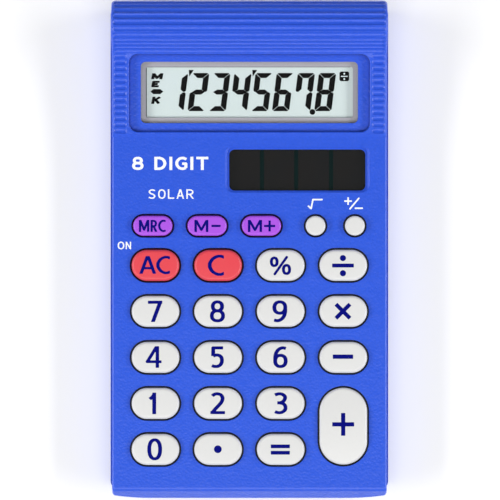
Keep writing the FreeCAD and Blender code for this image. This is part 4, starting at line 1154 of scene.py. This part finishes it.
@dataclass
class Keyboard:
    """The keys' printed legends; boxes are from each key's own middle."""

    crown_radius: float = 60.0
    rise: float = 0.02
    sink: float = 0.03
    cell: float = 0.09
    figure_pen: Pen = (0.93, 0.74)
    finer_pens: dict[str, Pen] = field(default_factory=lambda: {"4": (0.82, 0.66)})
    figures: dict[str, Box] = field(default_factory=lambda: {
        "0": (-1.95, -2.59, 1.60, 2.71),
        "1": (-1.72, -2.56, 0.18, 2.63),
        "2": (-1.85, -2.56, 1.67, 2.71),
        "3": (-1.80, -2.59, 1.61, 2.71),
        "4": (-2.36, -2.49, 1.47, 2.71),
        "5": (-1.74, -2.54, 1.39, 2.68),
        "6": (-1.80, -2.55, 1.66, 2.71),
        "7": (-1.79, -2.55, 1.66, 2.58),
        "8": (-1.97, -2.63, 1.66, 2.66),
        "9": (-2.00, -2.63, 1.56, 2.66),
    })
    legends: dict[str, tuple[Mark, ...]] = field(default_factory=lambda: {
        "point": (Mark("disc", (-0.98, -0.84, 0.87, 1.01)),),
        "equals": (
            Mark("bar", (-2.39, 0.33, 2.19, 1.22)),
            Mark("bar", (-2.39, -1.20, 2.19, -0.31)),
        ),
        "plus": (Mark("cross", (-2.68, -2.26, 2.59, 3.22), (1.0, 1.0)),),
        "minus": (Mark("bar", (-2.56, -0.32, 2.35, 0.70)),),
        "multiply": (Mark("times", (-2.17, -2.02, 1.96, 2.11), (0.96, 0.96)),),
        "divide": (
            Mark("bar", (-2.70, -0.50, 2.51, 0.42)),
            Mark("disc", (-0.84, 1.02, 0.62, 2.48)),
            Mark("disc", (-0.84, -2.64, 0.62, -1.18)),
        ),
        "percent": (
            Mark("ring", (-2.62, -0.42, -0.52, 2.12), (0.72, 0.64)),
            Mark("ring", (0.30, -2.32, 2.49, 0.34), (0.72, 0.64)),
            Mark("slash", (-1.75, -2.40, 1.75, 2.28), (0.62, 0.62), PenTip.ROUND),
        ),
        "ac": (
            Mark("A", (-3.86, -2.02, 0.16, 2.23), (0.78, 0.56)),
            Mark("C", (0.20, -2.12, 3.49, 2.29), (0.82, 0.62)),
        ),
        "c": (Mark("C", (-2.45, -2.52, 1.40, 2.54), (0.90, 0.68)),),
        "mrc": (
            Mark("M", (-3.31, -1.47, -0.84, 1.40), (0.52, 0.42)),
            Mark("R", (-0.51, -1.47, 1.09, 1.40), (0.52, 0.44)),
            Mark("C", (1.31, -1.52, 3.12, 1.45), (0.54, 0.46)),
        ),
        "memory_minus": (
            Mark("M", (-3.04, -1.50, 0.30, 1.38), (0.58, 0.44)),
            Mark("bar", (1.00, -0.31, 3.30, 0.21)),
        ),
        "memory_plus": (
            Mark("M", (-3.26, -1.50, 0.14, 1.38), (0.58, 0.44)),
            Mark("cross", (0.65, -1.38, 3.29, 1.26), (0.54, 0.52)),
        ),
    })

    def build(self) -> int:
        """Print every key.

        Returns:
            How many legends were printed.
        """
        legends = {
            figure: (Mark(figure, box, self.finer_pens.get(figure, self.figure_pen)),)
            for figure, box in self.figures.items()}
        legends |= self.legends
        for key, marks in legends.items():
            node = f"key_{key}"
            top = middle_of(node)
            top.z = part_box(node)[1].z
            slab = Slab(CrownBed(top, self.crown_radius), self.rise, self.sink)
            slab.ink(marks, self.cell)
            slab.build(f"legend_{key}", LEGEND_INK, node)
        return len(legends)


@dataclass
class CasePrints:
    """The white prints beside the keys and panel; boxes are from the origin, on the keyboard's plane."""

    keyboard_height: float = 9.0
    rise: float = 0.02
    sink: float = 0.03
    cell: float = 0.06
    letter_widths: dict[str, float] = field(default_factory=lambda: {
        " ": 0.45, "I": 0.3, "8": 0.95, "L": 0.85})
    prints: dict[str, tuple[Mark, ...]] = field(default_factory=lambda: {
        "root_sign": (Mark("root", (14.05, 10.20, 17.70, 12.35), THIN_PEN, PenTip.ROUND),),
        "change_sign": (
            Mark("cross", (22.90, 10.88, 24.74, 12.72), THIN_PEN),
            Mark("slash", (24.08, 9.75, 26.58, 12.66), THIN_PEN, PenTip.ROUND),
            Mark("bar", (25.40, 9.89, 27.40, 10.27), THIN_PEN),
        ),
        "on_word": (
            Mark("O", (-31.78, 0.16, -30.16, 2.02), (0.34, 0.30)),
            Mark("N", (-29.86, 0.18, -28.54, 2.00), (0.32, 0.30)),
        ),
    })

    def spaced(self, word: str, box: Box, pen: Pen, gap: float) -> tuple[Mark, ...]:
        """Set a word evenly in a box.

        Args:
            word: The word; a blank leaves a wide gap.
            box: The word's outer box.
            pen: The pen.
            gap: Gap between letters, in letter widths.

        Returns:
            The letters' marks.
        """
        left, low, right, high = box
        shares = [self.letter_widths.get(letter, 1.0) for letter in word]
        unit = (right - left) / (sum(shares) + gap * (len(word) - 1))
        marks = []
        for letter, share in zip(word, shares):
            if letter != " ":
                marks.append(Mark(letter, (left, low, left + share * unit, high), pen))
            left += (share + gap) * unit
        return tuple(marks)

    def build(self) -> int:
        """Print the case.

        Returns:
            How many prints were made.
        """
        prints = self.prints | {
            "digits_word": self.spaced("8 DIGIT", (-28.3, 19.3, -9.9, 22.5), (0.72, 0.62), 0.22),
            "solar_word": self.spaced("SOLAR", (-24.4, 12.35, -13.4, 14.65), (0.36, 0.32), 0.30),
        }
        for name, marks in prints.items():
            slab = Slab(level_bed(self.keyboard_height), self.rise, self.sink)
            slab.ink(marks, self.cell)
            slab.build(f"print_{name}", CASE_INK, "case")
        return len(prints)


def clipped(outline: list[Point], normal: Point, limit: float) -> list[Point]:
    """Keep the share of a polygon on one side of a line.

    Args:
        outline: The polygon's corners.
        normal: The direction that points away from what is kept.
        limit: How far the line is from the origin along that direction.

    Returns:
        The kept polygon's corners.
    """
    kept: list[Point] = []
    heights = [normal[0] * x_place + normal[1] * y_place - limit for x_place, y_place in outline]
    for index, point in enumerate(outline):
        following = (index + 1) % len(outline)
        other, here, there = outline[following], heights[index], heights[following]
        if here <= 0:
            kept.append(point)
        if here * there < 0:
            share = here / (here - there)
            kept.append((point[0] + share * (other[0] - point[0]), point[1] + share * (other[1] - point[1])))
    return kept


@dataclass
class Display:
    """The display's dark segments and signs; places are from the field's middle, along the tilted film."""

    number: str = "12345678"
    width: float = 4.15
    height: float = 9.2
    upright: float = 1.36
    level: float = 1.2
    gap: float = 0.07
    corner: float = 0.45
    notch: float = 0.3
    pitch: float = 5.105
    slant: float = 0.124
    last_left: float = 15.66
    base: float = -4.56
    rise: float = 0.03
    point_after: int = 6
    tick: tuple[Point, ...] = ((-14.52, 3.80), (-13.45, 5.38), (-14.62, 5.38))
    tick_step: float = 15.32
    point_shift: Point = (0.52, -0.20)
    point_radius: float = 0.68
    cell: float = 0.05
    sign_slant: float = 0.2
    letter_pen: Pen = (0.74, 0.48)
    letters: tuple[tuple[str, Box], ...] = (
        ("M", (-23.75, 3.12, -20.75, 4.62)), ("E", (-23.75, 1.20, -21.60, 2.76)),
        ("K", (-23.75, -2.82, -21.30, -1.08)))
    minus_middle: Point = (-22.36, 0.16)
    minus_half: Point = (1.55, 0.60)
    minus_nose: float = 0.72
    badge_place: Point = (21.76, 2.68)
    badge_size: float = 2.32
    badge_corner: float = 0.3
    badge_marks: tuple[tuple[str, Box], ...] = (
        ("bar", (-0.82, -0.12, 0.82, 0.12)), ("disc", (-0.22, 0.42, 0.22, 0.86)),
        ("disc", (-0.22, -0.86, 0.22, -0.42)))
    badge_pen: Pen = (0.3, 0.3)
    # Outline of a thin dark L along the field's left and top edges: painted shadow of the grey mask.
    seal: tuple[Point, ...] = (
        (-25.2, -6.2), (-24.78, -6.2), (-24.78, 6.04), (24.4, 6.04), (24.4, 6.4), (-25.2, 6.4))
    lit: dict[str, str] = field(default_factory=lambda: {
        "0": "abcdef", "1": "bc", "2": "abged", "3": "abgcd", "4": "fgbc", "5": "afgcd",
        "6": "afgedc", "7": "fabc", "8": "abcdefg", "9": "abcdfg",
    })

    def segments(self) -> dict[str, list[Point]]:
        """The seven segments' outlines in an upright digit's own box.

        Returns:
            Each segment's corners, by its usual letter.
        """
        wide, high, gap = self.width, self.height, self.gap
        upright, level = self.upright, self.level
        middle, half = high / 2, level / 2
        top = [
            (gap, high), (upright + gap, high - level), (wide - upright - gap, high - level),
            (wide - gap, high)]
        right = [
            (wide, high - gap), (wide - upright, high - level - gap), (wide - upright, middle + half + gap),
            (wide - upright / 2, middle + gap), (wide - self.notch, middle + gap),
            (wide, middle + gap + self.notch)]
        nose, end = upright / 3 + gap, upright + gap
        bar = [
            (nose, middle), (end, middle - half), (wide - end, middle - half),
            (wide - nose, middle), (wide - end, middle + half), (end, middle + half)]

        def flipped(outline: list[Point], across: bool, up: bool) -> list[Point]:
            """Mirror an outline across or up, keeping it anticlockwise."""
            mirrored = [
                (wide - x_place if across else x_place, high - y_place if up else y_place)
                for x_place, y_place in outline]
            return mirrored[::-1] if across != up else mirrored

        shapes = {
            "a": top, "b": right, "g": bar,
            "c": flipped(right, False, True), "d": flipped(top, False, True),
            "f": flipped(right, True, False), "e": flipped(right, True, True),
        }
        slope = math.sqrt(0.5)
        for name, outline in shapes.items():
            for side, rise in ((1, 1), (1, -1), (-1, 1), (-1, -1)):
                far_x = wide if side > 0 else 0.0
                far_y = high if rise > 0 else 0.0
                limit = slope * (side * far_x + rise * far_y - self.corner)
                outline = clipped(outline, (side * slope, rise * slope), limit)
            shapes[name] = outline
        return shapes

    def build(self) -> int:
        """Make the digits, their point and ticks, the signs at both ends, and a strip of painted shadow along
        the field's left and top edges.

        Returns:
            How many pieces were made.
        """
        film = frame["nodes"]["lcd_front_polariser"]
        bed = top_bed(film)
        shapes = self.segments()
        last = len(self.number) - 1
        starts = [self.last_left - (last - index) * self.pitch for index in range(len(self.number))]
        for index, (figure, start) in enumerate(zip(self.number, starts)):
            slab = Slab(bed, self.rise)
            for name in self.lit[figure]:
                slab.prism([self.leaned(start, point) for point in shapes[name]])
            slab.build(f"display_digit_{index + 1}", SEGMENT_INK, "case")
        points = Slab(bed, self.rise)
        for shift in (0.0, self.tick_step):
            points.prism([(across + shift, up) for across, up in self.tick])
        middle_x = starts[self.point_after] + self.width + self.point_shift[0]
        middle_y = self.base + self.point_shift[1]
        points.prism([
            (middle_x + self.point_radius * math.cos(turn), middle_y + self.point_radius * math.sin(turn))
            for turn in np.linspace(0, 2 * math.pi, 24, endpoint=False)])
        points.build("display_points", SEGMENT_INK, "case")
        self.build_signs(top_bed(film, self.sign_slant))
        self.build_badge(bed)
        # Painted shadow: a dark strip laid along the field's left and top edges.
        seal = Slab(bed, self.rise)
        seal.prism(self.seal)
        seal.build("display_edge_seal", PAINTED_SHADOW_INK, "case")
        return len(self.number) + 5

    def leaned(self, start: float, point: Point) -> Point:
        """A digit's own point as a place on the film."""
        return start + point[0] + self.slant * point[1], self.base + point[1]

    def build_signs(self, bed: FlatBed) -> None:
        """Make the small signs at the left: memory, error, minus and constant.

        Args:
            bed: The film's bed, leaned as the signs are.
        """
        signs = Slab(bed, self.rise)
        for letter, (left, low, right, high) in self.letters:
            box = (left - bed.slant * low, low, right - bed.slant * high, high)
            signs.ink([Mark(letter, box, self.letter_pen)], self.cell)
        (middle_x, middle_y), (half_x, half_y) = self.minus_middle, self.minus_half
        flat = half_x - self.minus_nose
        corners = (
            (-half_x, 0), (-flat, -half_y), (flat, -half_y), (half_x, 0), (flat, half_y), (-flat, half_y))
        signs.prism([
            (middle_x + side - bed.slant * (middle_y + rise), middle_y + rise) for side, rise in corners])
        signs.build("display_signs", SEGMENT_INK, "case")

    def build_badge(self, bed: FlatBed) -> None:
        """Make the dark badge at the right, with a pale divide sign on it.

        Args:
            bed: The film's bed.
        """
        (left, low), size, corner = self.badge_place, self.badge_size, self.badge_corner
        badge = Slab(bed, self.rise)
        badge.prism([
            (left + across, low + up) for across, up in (
                (corner, 0), (size - corner, 0), (size, corner), (size, size - corner),
                (size - corner, size), (corner, size), (0, size - corner), (0, corner))])
        badge.build("display_badge", SEGMENT_INK, "case")
        shift = (left + size / 2, low + size / 2) * 2
        marks = [
            Mark(glyph, tuple(side + move for side, move in zip(box, shift)), self.badge_pen)
            for glyph, box in self.badge_marks]
        sign = Slab(bed, 2 * self.rise, -self.rise)
        sign.ink(marks, self.cell)
        sign.build("display_badge_sign", FIELD_INK, "case")


@dataclass
class SolarPanel:
    """Four dark cells on the panel, parted by narrow green gaps."""

    rise: float = 0.04
    half_width: float = 16.9
    half_length: float = 5.4
    gap: float = 1.0
    gap_places: tuple[float, ...] = (-8.52, -0.27, 8.17)

    def build(self) -> int:
        """Make the cells and the gaps between them.

        Returns:
            How many pieces were made.
        """
        bed = top_bed(frame["nodes"]["solar_cell"])
        edges = [-self.half_width]
        for place in self.gap_places:
            edges += [place - self.gap / 2, place + self.gap / 2]
        edges.append(self.half_width)
        strips = list(zip(edges, edges[1:]))
        kinds = (("strip", CELL_FILM, self.rise), ("gap", CELL_GAP, self.rise / 2))
        for index, (left, right) in enumerate(strips):
            kind, finish, rise = kinds[index % 2]
            slab = Slab(bed, rise)
            slab.prism([
                (left, -self.half_length), (right, -self.half_length),
                (right, self.half_length), (left, self.half_length)])
            slab.build(f"solar_{kind}_{index // 2 + 1}", finish, "case")
        return len(strips)


@dataclass
class Keypad:
    """The rubber under the keys: a web that stays put, and a boot under each key."""

    board_top: float = 4.2
    web_top: float = 4.9
    boot_top: float = 6.45
    boot_ring: float = 3.2
    boot_base: float = 2.7
    boot_shoulder: float = 2.01
    hollow_base: float = 2.3
    hollow_shoulder: float = 1.54
    hollow_top: float = 5.9
    core: float = 1.2
    core_bottom: float = 5.5
    pill_bottom: float = 5.13
    pill_top: float = 5.48
    pill_bevel: float = 0.1
    wall_steps: int = 5
    screw_hole: float = 1.9
    screw_places: tuple[Point, ...] = (
        (-15.1, -31.45), (15.1, -31.45), (-15.1, -9.25), (15.1, -9.25))
    web_cell: float = 0.4
    web_margin: float = 1.0
    web_corner: float = 1.5
    web_play: float = 0.03

    def wall(self, start: Point, end: Point) -> list[Point]:
        """A straight wall of the boot in short steps."""
        shares = np.linspace(0, 1, self.wall_steps + 1)
        return [
            (start[0] + share * (end[0] - start[0]), start[1] + share * (end[1] - start[1]))
            for share in shares]

    def boot_profile(self) -> list[Point]:
        """Radius and height of the boot's corners.

        Returns:
            The corners, from the axis underneath to the axis on top.
        """
        inside = self.wall((self.hollow_shoulder, self.hollow_top), (self.hollow_base, self.board_top))
        outside = self.wall((self.boot_base, self.web_top), (self.boot_shoulder, self.boot_top))
        return [
            (0.0, self.core_bottom), (self.core, self.core_bottom), (self.core, self.hollow_top), *inside,
            (self.boot_ring, self.board_top), (self.boot_ring, self.web_top), *outside,
            (0.0, self.boot_top)]

    def build_web(self, places: Sequence[Point]) -> Piece:
        """Make the flat web with a hole for each boot and screw.

        Args:
            places: The keys' middles.

        Returns:
            The web.
        """
        low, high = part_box("keypad_sheet")
        middle, half = (low + high) / 2 / MM, (high - low) / 2 / MM
        start, end = middle - half, middle + half
        places_x = np.arange(start.x - self.web_margin, end.x + self.web_margin, self.web_cell)
        places_y = np.arange(start.y - self.web_margin, end.y + self.web_margin, self.web_cell)
        grid_x, grid_y = np.meshgrid(places_x, places_y)
        over_x = np.abs(grid_x - middle.x) - half.x + self.web_corner
        over_y = np.abs(grid_y - middle.y) - half.y + self.web_corner
        distances = np.hypot(np.maximum(over_x, 0), np.maximum(over_y, 0)) - self.web_corner
        distances = np.maximum(distances, np.minimum(np.maximum(over_x, over_y), 0) - self.web_corner)
        holes = [(place, self.boot_ring + self.web_play) for place in places]
        holes += [(place, self.screw_hole) for place in self.screw_places]
        for (hole_x, hole_y), radius in holes:
            distances = np.maximum(distances, radius - np.hypot(grid_x - hole_x, grid_y - hole_y))
        web = Slab(level_bed(0.0), self.web_top, -self.board_top)
        web.trace(distances, places_x, places_y)
        return web.build("keypad_web", SLOT_FINISHES["keypad_rubber"], "case")

    def build(self) -> int:
        """Make the web, and a boot and a carbon pill for each key.

        Returns:
            How many pieces were made.
        """
        rubber, carbon = SLOT_FINISHES["keypad_rubber"], SLOT_FINISHES["carbon_rubber"]
        pill_profile = [
            (0.0, self.pill_bottom), (self.core - self.pill_bevel, self.pill_bottom),
            (self.core, self.pill_bottom + self.pill_bevel), (self.core, self.pill_top), (0.0, self.pill_top)]
        keys = [name for name in frame["nodes"] if name.startswith("key_")]
        middles = [middle_of(key) / MM for key in keys]
        places = [(middle.x, middle.y) for middle in middles]
        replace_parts(self.build_web(places), "keypad_sheet")
        for key, place in zip(keys, places):
            boot = turned_piece(f"boot_{key[4:]}", self.boot_profile(), place, rubber)
            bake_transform(boot)
            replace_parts(boot, "keypad_sheet")
            pill = turned_piece(f"pill_{key[4:]}", pill_profile, place, carbon)
            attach(pill, key)
            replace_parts(pill, "contact_pills")
        return 1 + 2 * len(keys)


def dress_cad_nodes() -> int:
    """Put each slot's finish on the CAD nodes, which are shown as they are.

    Returns:
        How many nodes were dressed.
    """
    for node in frame["nodes"].values():
        for holder in node.material_slots:
            holder.material = material(SLOT_FINISHES[holder.material.name.split(".")[0]])
    return len(frame["nodes"])


# ---------------------------------------------------------------------------------------------------------
# Studio
# ---------------------------------------------------------------------------------------------------------

@dataclass(frozen=True)
class SoftBox:
    """A large soft light that faces the object."""

    name: str
    place: Colour
    size: Point
    power: float
    colour: Colour = (1.0, 1.0, 1.0)

    def build(self) -> None:
        """Hang the light."""
        lamp = bpy.data.lights.new(self.name, "AREA")
        lamp.shape = "RECTANGLE"
        lamp.size, lamp.size_y = self.size
        lamp.energy = self.power
        lamp.color = self.colour
        holder = bpy.data.objects.new(self.name, lamp)
        holder.location = self.place
        holder.rotation_euler = (-Vector(self.place)).to_track_quat("-Z", "Y").to_euler()
        bpy.context.scene.collection.objects.link(holder)


@dataclass
class Studio:
    """A pale floor, a soft tent of light and the camera straight above."""

    camera_height: float = 1.069
    camera_right: float = 0.000145
    view_width: float = 0.12063
    view_level: float = 0.009
    sensor: float = 36.0
    floor_half: float = 3.0
    front_gain: float = 0.3
    tent: tuple[Point, ...] = ((0.0, 0.32), (0.5, 0.32), (0.85, 0.27), (0.965, 0.22), (1.0, 0.22))
    boxes: tuple[SoftBox, ...] = (
        SoftBox("main box", (0.0, -0.55, 0.95), (1.0, 0.5), 5.0),
        SoftBox("left box", (-0.85, -0.05, 0.45), (1.0, 0.22), 7.2),
        SoftBox("right box", (0.85, -0.05, 0.45), (1.0, 0.22), 7.2),
    )

    def build_floor(self) -> None:
        """Lay the floor."""
        steps = 8
        span = np.linspace(-self.floor_half, self.floor_half, steps + 1)
        points = [(x_place, y_place, 0.0) for y_place in span for x_place in span]
        row = steps + 1
        faces = [
            (start, start + 1, start + row + 1, start + row)
            for line_start in range(0, steps * row, row)
            for start in range(line_start, line_start + steps)]
        new_piece("floor", points, faces, FLOOR_CARD)

    def build_sky(self) -> None:
        """Light the tent: dim overhead, where the camera is, and brighter low down and in front."""
        world = bpy.data.worlds.new("tent")
        bpy.context.scene.world = world
        recipe = Recipe(world)
        direction = recipe.add("SeparateXYZ")
        recipe.join(recipe.places["Generated"], direction.inputs[0])
        height = recipe.add("ValToRGB")
        stops = height.color_ramp.elements
        while len(stops) < len(self.tent):
            stops.new(0.5)
        for stop, (place, strength) in zip(stops, self.tent):
            stop.position = place
            stop.color = (strength, strength, strength, 1)
        recipe.join(direction.outputs["Z"], height.inputs["Fac"])
        gains = (1 + self.front_gain, 1 - self.front_gain)
        both = recipe.add("Math", operation="MULTIPLY")
        recipe.join(height.outputs["Color"], both.inputs[0])
        recipe.join(recipe.spread(direction.outputs["Y"], (-1.0, 1.0), gains), both.inputs[1])
        glow = recipe.add("Background")
        recipe.join(both.outputs[0], glow.inputs["Strength"])
        recipe.finish(glow, "OutputWorld")

    def build_camera(self) -> None:
        """Hang the camera, looking straight down with the crest at the top of the view."""
        camera = bpy.data.cameras.new("camera")
        camera.sensor_width = self.sensor
        camera.lens = self.sensor * (self.camera_height - self.view_level) / self.view_width
        camera.clip_end = 20.0
        holder = bpy.data.objects.new("camera", camera)
        holder.location = (self.camera_right, 0.0, self.camera_height)
        bpy.context.scene.collection.objects.link(holder)
        bpy.context.scene.camera = holder

    def build(self) -> int:
        """Set up everything that isn't the object.

        Returns:
            How many lights were hung.
        """
        self.build_camera()
        self.build_floor()
        self.build_sky()
        for box in self.boxes:
            box.build()
        settings = bpy.context.scene.view_settings
        settings.view_transform = "Standard"
        settings.look = "None"
        settings.exposure = 0.0
        return len(self.boxes)


def main() -> None:
    """Build every sub-assembly in order and report each."""
    logging.basicConfig(level=logging.INFO, format="%(name)s: %(message)s")
    LOG.info("studio: %d lights", Studio().build())
    LOG.info("CAD nodes dressed: %d", dress_cad_nodes())
    LOG.info("keypad pieces: %d", Keypad().build())
    LOG.info("key legends: %d", Keyboard().build())
    LOG.info("case prints: %d", CasePrints().build())
    LOG.info("display pieces: %d", Display().build())
    LOG.info("solar strips: %d", SolarPanel().build())


if __name__ == "__main__":
    main()
